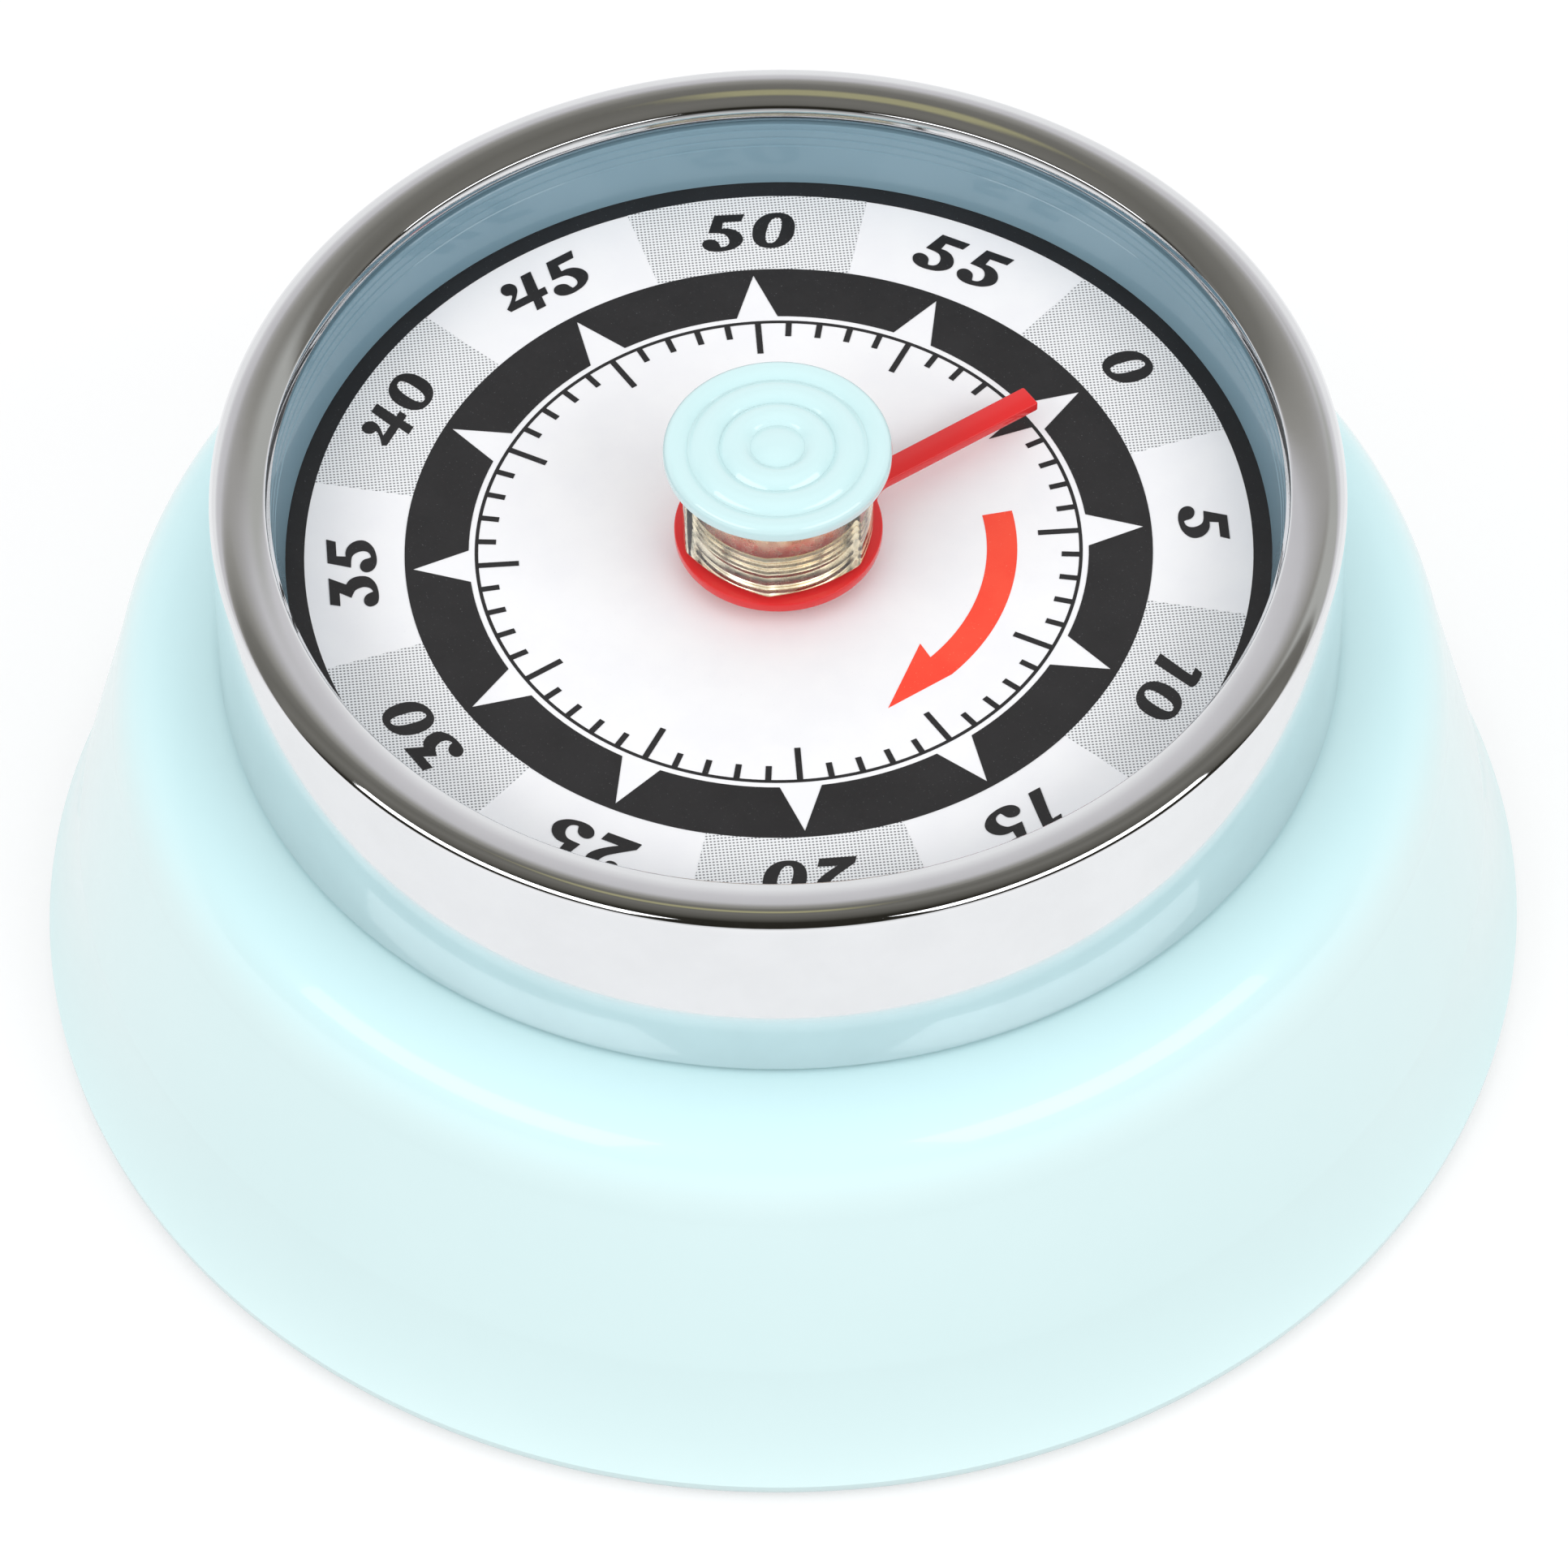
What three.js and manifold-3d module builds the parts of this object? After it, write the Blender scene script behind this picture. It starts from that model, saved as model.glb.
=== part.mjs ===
// Mechanical kitchen timer, 60 minutes: a bell-shaped case with a chrome bezel round a sunk dial,
// a knob with a pointer on the main arbor, and a wind-up movement with a bell behind the dial.
// Millimetres, +Z up, origin on the table under the middle of the dial, zero minutes towards +Y.
import * as THREE from 'three';
import { mergeVertices } from 'three/addons/utils/BufferGeometryUtils.js';
import Module from 'manifold-3d';

const wasm = await Module();
wasm.setup();

// ---------------------------------------------------------------- driving dimensions

// Clearances
const seatGap = 0.3;          // between pieces that rest on each other
const runGap = 0.2;           // round a shaft in its hole, and round a wheel on its arbor
const sideGap = 0.4;          // between the ends of a turning piece and what it turns against

// Case
const footRadius = 35;        // widest, at the table
const footLift = 0.2;         // the case's edge stands this far off the table
const flareHeight = 7.7;      // top of the flared foot
const flareRadius = 33.2;
const flankHeight = 15.7;     // where the flank turns into the shoulder
const flankRadius = 31.3;
const shoulderHeight = 20.5;  // top of the shoulder, under the bezel
const caseWall = 0.8;
const neckWall = 0.8;

// Bezel
const bezelRadius = 26.1;     // outside of the upright wall
const bezelWall = 1.0;
const bezelRoll = 0.7;        // rise of the rolled top above the wall
const lipRadius = 23.3;       // inner edge of the rolled top
const lipRise = 4.1;          // inner edge above the dial's face
const lipDepth = 0.6;         // how far the inner edge turns down from the crown
const lipEdge = 0.4;          // thickness at the inner edge

// Dial
const dialHeight = 26.5;      // printed face above the table
const dialThickness = 0.4;
const ledgeThickness = 0.8;
const ledgeWidth = 2.4;       // what the dial rests on all round
const collarWall = 0.35;

// Pointer
const pointerLift = 1.6;      // top of the pointer above the dial
const pointerThickness = 0.5;
const pointerDisc = 4.8;
const pointerReach = 14.15;
const pointerWidth = 1.2;
const pointerFlare = 1.2;     // radius of the fillets where the arm leaves the disc

// Knob
const capRadius = 5.25;
const capTop = 34;
const capRise = 0.6;          // from the cap's edge to its top
const capRim = 0.4;           // upright edge of the cap
const gripRadius = 4.65;      // at the six rounded corners
const gripFlat = 4.4;         // at the middle of each side
const gripTurn = 20;          // degrees from +X to the first corner
const gripWall = 1.8;

// Movement: two plates with the train between them
const coverThickness = 0.8;
const coverHeight = 1.2;      // underside of the base cover
const plateThickness = 0.8;
const lowerPlate = 8;         // underside of the lower plate
const lowerPlateRadius = 24;
const arborRadius = 0.8;
const pivotRadius = 0.45;
const mainArborRadius = 1.5;
const hubThickness = 1.5;
const wheelThickness = 0.8;

// Train: teeth and module of each mesh, main arbor first
const mainMesh = { wheel: 48, pinion: 12, module: 0.5 };
const secondMesh = { wheel: 48, pinion: 12, module: 0.4 };
const thirdMesh = { wheel: 42, pinion: 12, module: 0.35 };
const addendum = 0.7;         // all in modules
const dedendum = 0.95;
const backlash = 0.16;
const pressureAngle = THREE.MathUtils.degToRad(20);

// Escapement
const escapeTeeth = 15;
const escapeRadius = 4.5;
const escapeDepth = 1.3;
const palletPin = 0.25;
const palletSpan = 2;         // pitches from the line of centres to each pallet pin
const palletClear = 0.12;
const balanceRadius = 5.4;

// Mainspring
const barrelRadius = 9.4;
const barrelWall = 0.6;
const springTurns = 6;
const springStrip = 0.35;

// Stop, strike work and bell
const stopRadius = 9.4;       // where the stop pin runs
const stopPin = 0.4;
const stopSwing = 348.857;    // degrees of knob travel, a whole number of escape pitches
const camRadius = 4.4;
const camNotch = 0.9;
const hammerRadius = 19.6;    // where the hammer pivots
const hammerHead = 1.6;
const hammerBoss = 1.9;
const bellRadius = 17;
const bellDepth = 3.6;
const bellWall = 0.7;

// Posts and screws
const pillarRadius = 1.6;
const pillarInset = 3.5;      // pillar axis in from the upper plate's edge
const pillarAngles = [-46, 134, 222];
const screwHead = 2.2;
const screwShank = 0.8;
const footRingClear = 2;      // rubber ring clear of the screw heads
const footRingInset = 2.4;    // rubber ring in from the cover's edge
const magnetRadius = 6;
const magnetOffset = 10;

const roundSegments = 48;
const innerSegments = 32;
const smallSegments = 12;

// ---------------------------------------------------------------- materials

const surface = (color, roughness, metalness) =>
  new THREE.MeshStandardMaterial({ color, roughness, metalness });
const cyanPaint = surface(0xd8f0f2, 0.25, 0);
const redPaint = surface(0xd23b33, 0.35, 0);
const dialPrint = surface(0xe6e6e8, 0.45, 0);
const chrome = surface(0xd8dadc, 0.08, 1);
const steel = surface(0xa8abae, 0.3, 1);
const darkSteel = surface(0x5c6066, 0.35, 1);
const brass = surface(0xc9a250, 0.3, 1);
const clearPlastic = surface(0xe6ecec, 0.1, 0);
const rubber = surface(0x2a2b2d, 0.9, 0);
const zinc = surface(0xc3c6c8, 0.4, 1);

// ---------------------------------------------------------------- geometry helpers

const radians = THREE.MathUtils.degToRad;
const point = (radius, angle) =>
  new THREE.Vector2(radius * Math.cos(angle), radius * Math.sin(angle));

// One closed, outward-facing indexed geometry: shared corners merged, collapsed triangles dropped.
function closed(geometry) {
  const bare = geometry.clone();
  for (const name of ['normal', 'uv']) bare.deleteAttribute(name);
  const merged = mergeVertices(bare, 1e-5);
  const position = merged.getAttribute('position');
  const index = merged.getIndex().array;
  const corner = [new THREE.Vector3(), new THREE.Vector3(), new THREE.Vector3()];
  const kept = [];
  let volume = 0;
  for (let i = 0; i < index.length; i += 3) {
    const [a, b, c] = index.slice(i, i + 3);
    if (a === b || b === c || c === a) continue;
    kept.push(a, b, c);
    [a, b, c].forEach((vertex, k) => corner[k].fromBufferAttribute(position, vertex));
    volume += corner[0].dot(corner[1].clone().cross(corner[2]));
  }
  merged.setIndex(volume < 0 ? kept.reverse() : kept);
  return merged;
}

// A solid of revolution about +Z; outline is a closed loop of [radius, height].
function turned(outline, segments = roundSegments) {
  const points = outline.map(([radius, height]) => new THREE.Vector2(radius, height));
  const first = points[0];
  if (first.x > 0 || points[points.length - 1].x > 0) points.push(first.clone());
  return closed(new THREE.LatheGeometry(points, segments).rotateX(Math.PI / 2));
}

function cut(shape, bottom, top, curveSegments = smallSegments / 2) {
  const options = { depth: top - bottom, bevelEnabled: false, curveSegments };
  return closed(new THREE.ExtrudeGeometry(shape, options).translate(0, 0, bottom));
}

function rod(radius, bottom, top, segments = smallSegments, x = 0, y = 0) {
  const geometry = new THREE.CylinderGeometry(radius, radius, top - bottom, segments);
  return closed(geometry.rotateX(Math.PI / 2).translate(x, y, (top + bottom) / 2));
}

function tube(inner, outer, bottom, top, segments = roundSegments) {
  return turned([[inner, bottom], [outer, bottom], [outer, top], [inner, top]], segments);
}

function toSolid(geometry) {
  return new wasm.Manifold(new wasm.Mesh({
    numProp: 3,
    vertProperties: new Float32Array(geometry.getAttribute('position').array),
    triVerts: new Uint32Array(geometry.getIndex().array),
  }));
}

function toGeometry(solid) {
  const mesh = solid.getMesh();
  const geometry = new THREE.BufferGeometry();
  geometry.setAttribute('position', new THREE.BufferAttribute(mesh.vertProperties, 3));
  geometry.setIndex(new THREE.BufferAttribute(mesh.triVerts, 1));
  return geometry;
}

const joined = (...pieces) =>
  toGeometry(pieces.map(toSolid).reduce((whole, piece) => whole.add(piece)));
const pierced = (body, ...holes) =>
  toGeometry(holes.map(toSolid).reduce((whole, hole) => whole.subtract(hole), toSolid(body)));

const circle = (radius, segments = smallSegments, x = 0, y = 0) =>
  Array.from({ length: segments }, (_, i) =>
    point(radius, i * 2 * Math.PI / segments).add(new THREE.Vector2(x, y)));

function circleHole(shape, radius, x = 0, y = 0) {
  shape.holes.push(new THREE.Path(circle(radius, smallSegments, x, y)));
}

// Points along a cubic curve, as [radius, height].
function curve(steps, ...corners) {
  const path = new THREE.CubicBezierCurve(...corners.map(([r, h]) => new THREE.Vector2(r, h)));
  return path.getPoints(steps).map(({ x, y }) => [x, y]);
}

// ---------------------------------------------------------------- case

const neckOuter = bezelRadius - bezelWall - seatGap;
const neckInner = neckOuter - neckWall;
const dialRadius = neckInner - seatGap;
const upperPlateRadius = neckInner - seatGap;
const pillarCircle = upperPlateRadius - pillarInset;
const ledgeTop = dialHeight - dialThickness - seatGap;
const ledgeUnder = ledgeTop - ledgeThickness;
const lipHeight = dialHeight + lipRise;
const crownHeight = lipHeight + lipDepth;
const wallTop = crownHeight - bezelRoll;
const lipUnder = lipHeight - lipEdge;
const collarTop = lipUnder - seatGap;

// Inside of the flared foot at a height.
function footInner(height) {
  const share = (height - footLift) / (flareHeight - footLift);
  return THREE.MathUtils.lerp(footRadius - 2 * caseWall, flareRadius - caseWall, share);
}

function bodyShell() {
  const foot = [footRadius, footLift];
  const flank = curve(5, [footRadius, footLift + 0.9], [footRadius - 0.9, footLift + 2.4],
    [flareRadius + 0.3, flareHeight - 2.2], [flareRadius, flareHeight]);
  const shoulder = curve(6, [flankRadius, flankHeight],
    [flankRadius - 0.5, flankHeight + 3.4], [bezelRadius + 3.3, shoulderHeight - 0.2],
    [bezelRadius + 0.2, shoulderHeight]);
  const outside = [foot, ...flank, ...shoulder, [neckOuter, shoulderHeight]];
  const neck = [[neckOuter, collarTop - 1], [neckInner, collarTop - 1]];
  const ledge = [[neckInner, ledgeTop], [dialRadius - ledgeWidth, ledgeTop],
    [dialRadius - ledgeWidth, ledgeUnder], [neckInner, ledgeUnder]];
  const inside = [[neckInner, shoulderHeight - caseWall],
    ...curve(4, [bezelRadius - 0.3, shoulderHeight - caseWall],
      [bezelRadius + 2.4, shoulderHeight - caseWall - 0.3],
      [flankRadius - caseWall - 0.5, flankHeight + 2.8], [flankRadius - caseWall, flankHeight]),
    [footInner(flareHeight), flareHeight], [footInner(footLift), footLift]];
  return turned([...outside, ...neck, ...ledge, ...inside]);
}

function bezelRing() {
  const wallInner = bezelRadius - bezelWall;
  const bottom = shoulderHeight + seatGap;
  const roll = curve(4, [bezelRadius, wallTop], [bezelRadius, crownHeight - 0.2],
    [wallInner + 0.5, crownHeight], [wallInner, crownHeight]);
  const slope = curve(3, [wallInner, crownHeight], [wallInner - 0.6, crownHeight],
    [lipRadius + 0.5, crownHeight - 0.15], [lipRadius + 0.25, crownHeight - 0.3]);
  return turned([[wallInner, bottom], [bezelRadius, bottom], ...roll, ...slope.slice(1),
    [lipRadius, lipHeight], [lipRadius, lipUnder], [wallInner, lipUnder]]);
}

function dialCollar() {
  const outer = neckInner - seatGap;
  return tube(outer - collarWall, outer, dialHeight + seatGap, collarTop);
}

const dialHole = mainArborRadius + 2 * runGap + 1.2;

function dialPlate() {
  return tube(dialHole, dialRadius, dialHeight - dialThickness, dialHeight);
}

// ---------------------------------------------------------------- base

const coverTop = coverHeight + coverThickness;
const coverRadius = footInner(coverTop) - seatGap;
const polar = (radius, degrees) => point(radius, radians(degrees));

function baseCover() {
  const cover = new THREE.Shape(circle(coverRadius, roundSegments));
  for (const angle of pillarAngles) {
    const { x, y } = polar(pillarCircle, angle);
    circleHole(cover, screwShank + runGap, x, y);
  }
  return cut(cover, coverHeight, coverTop);
}

const footRing = () => tube(pillarCircle + screwHead + footRingClear,
  coverRadius - footRingInset, 0, coverHeight - seatGap);
const magnet = () => rod(magnetRadius, seatGap, coverHeight - seatGap, innerSegments);

function coverScrew() {
  const head = coverHeight - seatGap;
  return turned([[0, head - 0.8], [screwHead - 0.4, head - 0.8], [screwHead, head - 0.4],
    [screwHead, head], [screwShank, head], [screwShank, head + 3.4], [0, head + 3.4]],
  smallSegments);
}

function standoff() {
  const bottom = coverTop + seatGap;
  const top = lowerPlate - seatGap;
  return turned([[0, bottom + 3.2], [screwShank + runGap, bottom + 3.2],
    [screwShank + runGap, bottom], [pillarRadius + 0.4, bottom], [pillarRadius + 0.4, top],
    [0, top]], smallSegments);
}

// ---------------------------------------------------------------- movement frame

const plateTop = lowerPlate + plateThickness;
const upperPlate = ledgeUnder - seatGap - plateThickness;

const pitchRadius = (teeth, module) => teeth * module / 2;
const centreDistance = ({ wheel, pinion, module }) => (wheel + pinion) * module / 2;
const toRatio = ({ wheel, pinion }) => wheel / pinion;

// Where two circles about the main arbor and about a known arbor meet, going counter-clockwise.
function nextArbor(from, distance, radius) {
  const reach = from.length();
  const turn = Math.acos((reach ** 2 + radius ** 2 - distance ** 2) / (2 * reach * radius));
  return point(radius, from.angle() + turn);
}

const escapeDistance = escapeRadius / Math.cos(palletSpan * 2 * Math.PI / escapeTeeth);
const secondAt = point(centreDistance(mainMesh), 0);
const thirdAt = nextArbor(secondAt, centreDistance(secondMesh), centreDistance(mainMesh));
const escapeAt = nextArbor(thirdAt, centreDistance(thirdMesh), barrelRadius + 7);
const anchorAt = nextArbor(escapeAt, escapeDistance, barrelRadius + balanceRadius + 1.6);
const hammerAt = point(hammerRadius, Math.PI);
const trainAt = [secondAt, thirdAt, escapeAt, anchorAt];
const between = (from, to) => to.clone().sub(from).angle();

function plate(radius, bottom, holes) {
  const shape = new THREE.Shape(circle(radius, innerSegments));
  for (const [hole, at] of holes) circleHole(shape, hole, at.x, at.y);
  return cut(shape, bottom, bottom + plateThickness);
}

const pillarsAt = pillarAngles.map((angle) => polar(pillarCircle, angle));
const pivotHoles = trainAt.map((at) => [pivotRadius + runGap, at]);
const screwHoles = pillarsAt.map((at) => [screwShank + runGap, at]);
const centreHole = new THREE.Vector2();

const bottomPlate = () => plate(lowerPlateRadius, lowerPlate, [...pivotHoles,
  [mainArborRadius / 2 + runGap, centreHole], [arborRadius + runGap, hammerAt]]);
const topPlate = () => plate(upperPlateRadius, upperPlate, [...pivotHoles, ...screwHoles,
  [mainArborRadius + hubThickness + runGap, centreHole]]);

function pillar() {
  const bottom = plateTop + seatGap;
  const top = upperPlate - seatGap;
  return turned([[0, bottom], [pillarRadius, bottom], [pillarRadius, top], [screwShank, top],
    [screwShank, upperPlate + plateThickness - 0.1], [0, upperPlate + plateThickness - 0.1]],
  smallSegments);
}

// ---------------------------------------------------------------- train

// Involute wheel or pinion outline with its first tooth at the angle phase.
function gearShape(teeth, module, phase) {
  const pitch = pitchRadius(teeth, module);
  const base = pitch * Math.cos(pressureAngle);
  const root = pitch - dedendum * module;
  const tip = pitch + addendum * module;
  const involute = (radius) => {
    const angle = Math.acos(Math.min(1, base / radius));
    return Math.tan(angle) - angle;
  };
  const half = (radius) => Math.PI / (2 * teeth) - backlash * module / (2 * pitch)
    + involute(pitch) - involute(radius);
  const radii = root < base ? [root, base, pitch, tip] : [root, tip];
  const outline = [];
  for (let tooth = 0; tooth < teeth; tooth++) {
    const middle = phase + tooth * 2 * Math.PI / teeth;
    for (const radius of radii) outline.push(point(radius, middle - half(radius)));
    for (const radius of [...radii].reverse()) outline.push(point(radius, middle + half(radius)));
  }
  return new THREE.Shape(outline);
}

function wheel({ wheel: teeth, module }, phase, bore, bottom, thickness) {
  const shape = gearShape(teeth, module, phase);
  circleHole(shape, bore);
  return cut(shape, bottom, bottom + thickness);
}

// An arbor with its pivots in the plates, and a pinion cut on it.
function arbor(teeth, module, phase, bottom, top) {
  const low = plateTop + sideGap;
  const high = upperPlate - sideGap;
  const shaft = turned([[0, lowerPlate + 0.1], [pivotRadius, lowerPlate + 0.1],
    [pivotRadius, low], [arborRadius, low], [arborRadius, high], [pivotRadius, high],
    [pivotRadius, upperPlate + plateThickness - 0.1],
    [0, upperPlate + plateThickness - 0.1]], smallSegments);
  return teeth ? joined(shaft, cut(gearShape(teeth, module, phase), bottom, top)) : shaft;
}

const mainWheelAt = plateTop + 6;
const mainWheelThickness = 1.2;
const mainWheelTop = mainWheelAt + mainWheelThickness;
const secondWheelAt = plateTop + 1.5;
const thirdWheelAt = plateTop + 3.4;
const escapeWheelAt = mainWheelTop + 1.4;
const facing = (angle, teeth) => angle + Math.PI + Math.PI / teeth;
const toSecond = secondAt.angle();
const toThird = between(secondAt, thirdAt);
const toEscape = between(thirdAt, escapeAt);
const toAnchor = between(escapeAt, anchorAt);

const mainWheel = () =>
  wheel(mainMesh, toSecond, mainArborRadius + runGap, mainWheelAt, mainWheelThickness);
const secondWheel = () =>
  wheel(secondMesh, toThird, arborRadius + runGap, secondWheelAt, wheelThickness);
const thirdWheel = () =>
  wheel(thirdMesh, toEscape, arborRadius + runGap, thirdWheelAt, wheelThickness);
const secondArbor = () => arbor(mainMesh.pinion, mainMesh.module,
  facing(toSecond, mainMesh.pinion), mainWheelAt - 0.5, mainWheelTop + 0.5);
const thirdArbor = () => arbor(secondMesh.pinion, secondMesh.module,
  facing(toThird, secondMesh.pinion), secondWheelAt - 0.5, secondWheelAt + wheelThickness + 0.5);
const escapeArbor = () => arbor(thirdMesh.pinion, thirdMesh.module,
  facing(toEscape, thirdMesh.pinion), thirdWheelAt - 0.5, thirdWheelAt + wheelThickness + 0.5);

// Pointed teeth, with a gap under each pallet pin.
function escapeWheel() {
  const pitch = 2 * Math.PI / escapeTeeth;
  const outline = [];
  for (let tooth = 0; tooth < escapeTeeth; tooth++) {
    const middle = toAnchor + (tooth + 0.5) * pitch;
    outline.push(point(escapeRadius - escapeDepth, middle - 0.25 * pitch),
      point(escapeRadius, middle - 0.06 * pitch), point(escapeRadius, middle + 0.06 * pitch),
      point(escapeRadius - escapeDepth, middle + 0.25 * pitch));
  }
  const shape = new THREE.Shape(outline);
  circleHole(shape, arborRadius + runGap);
  return cut(shape, escapeWheelAt, escapeWheelAt + wheelThickness);
}

// A fork over the escape wheel, with a pin down into the wheel's plane at each end.
function anchor() {
  const pinRadius = escapeRadius + palletPin + palletClear;
  const pins = [-palletSpan, palletSpan].map((pitches) =>
    point(pinRadius, toAnchor + pitches * 2 * Math.PI / escapeTeeth)
      .add(escapeAt).sub(anchorAt));
  const bottom = escapeWheelAt + wheelThickness + sideGap;
  const boss = arborRadius + runGap + 0.9;
  const arms = pins.map((pin) => {
    const side = new THREE.Vector2(-pin.y, pin.x).normalize().multiplyScalar(0.55);
    const start = pin.clone().setLength(boss - 0.3);
    const end = pin.clone().setLength(pin.length() + 0.4);
    return cut(new THREE.Shape([start.clone().sub(side), end.clone().sub(side),
      end.clone().add(side), start.clone().add(side)]), bottom, bottom + 0.7);
  });
  const ring = new THREE.Shape(circle(boss));
  circleHole(ring, arborRadius + runGap);
  const legs = pins.map(({ x, y }) =>
    rod(palletPin, escapeWheelAt - 0.1, bottom + 0.35, 8, x, y));
  return joined(cut(ring, bottom, bottom + 0.7), ...arms, ...legs);
}

// A rim on two spokes, which the anchor rocks.
function balanceWheel() {
  const bottom = escapeWheelAt + 3.2;
  const spoke = new THREE.Shape([[-0.6, -1], [0.6, -1], [0.6, 1], [-0.6, 1]].map(([x, y]) =>
    new THREE.Vector2(x, y * (balanceRadius - 0.4))));
  const boss = arborRadius + 1.1;
  return pierced(joined(
    tube(balanceRadius - 1.1, balanceRadius, bottom, bottom + 1, innerSegments),
    cut(spoke, bottom + 0.1, bottom + 0.9), rod(boss, bottom, bottom + 1)),
  rod(arborRadius + runGap, bottom - 1, bottom + 2));
}

// ---------------------------------------------------------------- main arbor and spring

const barrelBottom = mainWheelTop + sideGap;
const barrelTop = upperPlate - seatGap;

const mainArborTop = capTop - 1.2;

function mainArbor() {
  const top = mainArborTop;
  const low = plateTop + sideGap;
  return turned([[0, lowerPlate + 0.1], [mainArborRadius / 2, lowerPlate + 0.1],
    [mainArborRadius / 2, low], [mainArborRadius, low], [mainArborRadius, top], [0, top]],
  smallSegments);
}

// An upturned cup under the top plate.
function springBarrel() {
  const hole = mainArborRadius + 1.2;
  const floor = barrelTop - barrelWall;
  return turned([[hole, floor], [barrelRadius - barrelWall, floor],
    [barrelRadius - barrelWall, barrelBottom], [barrelRadius, barrelBottom],
    [barrelRadius, barrelTop], [hole, barrelTop]], innerSegments);
}

function mainspring() {
  const start = mainArborRadius + runGap;
  const end = barrelRadius - barrelWall - sideGap - springStrip;
  const steps = springTurns * smallSegments;
  const edge = (offset) => Array.from({ length: steps + 1 }, (_, i) =>
    point(start + offset + (end - start) * i / steps, i * 2 * Math.PI / smallSegments));
  const strip = new THREE.Shape([...edge(springStrip), ...edge(0).reverse()]);
  return cut(strip, barrelBottom + sideGap, barrelTop - barrelWall - sideGap);
}

function arborBush() {
  const inner = mainArborRadius + runGap;
  const top = dialHeight + pointerLift - pointerThickness - sideGap;
  const neck = inner + 0.8;
  return turned([[inner, barrelTop + seatGap], [inner + hubThickness - runGap - 0.2,
    barrelTop + seatGap], [neck + 0.3, ledgeTop], [neck, ledgeTop], [neck, top], [inner, top]],
  smallSegments);
}

const toStop = radians(250);
const stopHalf = radians((360 - stopSwing) / 2);

// The pin hangs under the main wheel, on the side of the post that zero minutes rests against.
const pinAt = point(stopRadius, toStop - stopHalf);
const postAt = point(stopRadius, toStop);
const stopPinRod = () => rod(stopPin, mainWheelAt - 1.6, mainWheelAt - runGap);
const stopPost = () => rod(stopPin, plateTop + seatGap, mainWheelAt - 0.6);

function strikeCam() {
  const outline = new THREE.Shape();
  const notch = radians(150);
  outline.absarc(0, 0, camRadius, notch + 0.2, notch + 2 * Math.PI - 0.2);
  const deep = point(camRadius - camNotch, notch);
  outline.lineTo(deep.x, deep.y);
  circleHole(outline, mainArborRadius + runGap);
  return cut(outline, plateTop + 0.8, plateTop + 1.8, smallSegments);
}

// ---------------------------------------------------------------- bell and hammer

const bellTop = lowerPlate - 1.1;

function bell() {
  const rim = bellTop - bellDepth;
  const hole = 1.4;
  return turned([[hole, bellTop], [bellRadius - 4, bellTop],
    [bellRadius - 1.2, bellTop - 1.2], [bellRadius, rim], [bellRadius - bellWall, rim],
    [bellRadius - 1.2 - bellWall, bellTop - 1.6], [bellRadius - 4.2, bellTop - bellWall],
    [hole, bellTop - bellWall]], innerSegments);
}

function bellPost() {
  const nutBottom = bellTop - bellWall - 1.3;
  return turned([[0, nutBottom - 0.4], [1, nutBottom - 0.4], [1, bellTop + seatGap],
    [2.4, bellTop + seatGap], [2.4, lowerPlate - seatGap], [0, lowerPlate - seatGap]],
  smallSegments);
}

function bellNut() {
  const hexagon = new THREE.Shape(Array.from({ length: 6 }, (_, k) =>
    point(2.4, k * Math.PI / 3)));
  circleHole(hexagon, 1 + runGap);
  return cut(hexagon, bellTop - bellWall - 1.3, bellTop - bellWall - seatGap);
}

const hammerFloor = bellTop - 2.4;
const headAt = point(bellRadius + seatGap + hammerHead, Math.PI + radians(25)).sub(hammerAt);

function hammerArm() {
  const side = new THREE.Vector2(-headAt.y, headAt.x).normalize().multiplyScalar(0.6);
  const start = headAt.clone().setLength(1.2);
  const bar = new THREE.Shape([start.clone().sub(side), headAt.clone().sub(side),
    headAt.clone().add(side), start.clone().add(side)]);
  const boss = new THREE.Shape(circle(hammerBoss));
  circleHole(boss, arborRadius + runGap);
  const top = hammerFloor + 1;
  return joined(cut(bar, hammerFloor, top), cut(boss, hammerFloor, top),
    rod(hammerHead, hammerFloor - 1.2, top + 1.2, smallSegments, headAt.x, headAt.y));
}

const hammerArbor = () => rod(arborRadius, hammerFloor - 0.6, plateTop + 5, smallSegments);

function strikeLever() {
  const reach = hammerRadius - camRadius - sideGap;
  const bar = new THREE.Shape([[1, -0.6], [reach, -0.35], [reach, 0.35], [1, 0.6]].map(([x, y]) =>
    new THREE.Vector2(x, y)));
  const boss = new THREE.Shape(circle(hammerBoss));
  circleHole(boss, arborRadius + runGap);
  const bottom = plateTop + 0.8;
  return joined(cut(bar, bottom, bottom + 1), cut(boss, bottom, bottom + 1));
}

function hammerSpring() {
  const turns = 3;
  const steps = turns * smallSegments;
  const radius = arborRadius + 0.6;
  const bottom = plateTop + 2.4;
  const pitch = 0.7;
  const path = new THREE.CatmullRomCurve3(Array.from({ length: steps + 1 }, (_, i) => {
    const angle = i * 2 * Math.PI / smallSegments;
    return new THREE.Vector3(radius * Math.cos(angle), radius * Math.sin(angle),
      bottom + pitch * i / smallSegments);
  }));
  const wire = new THREE.Shape(circle(0.18, 5));
  return closed(new THREE.ExtrudeGeometry(wire, { steps, extrudePath: path }));
}

// ---------------------------------------------------------------- knob and pointer

const pointerTop = dialHeight + pointerLift;
const capEdge = capTop - capRise;
const capUnder = capEdge - capRim;

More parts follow.
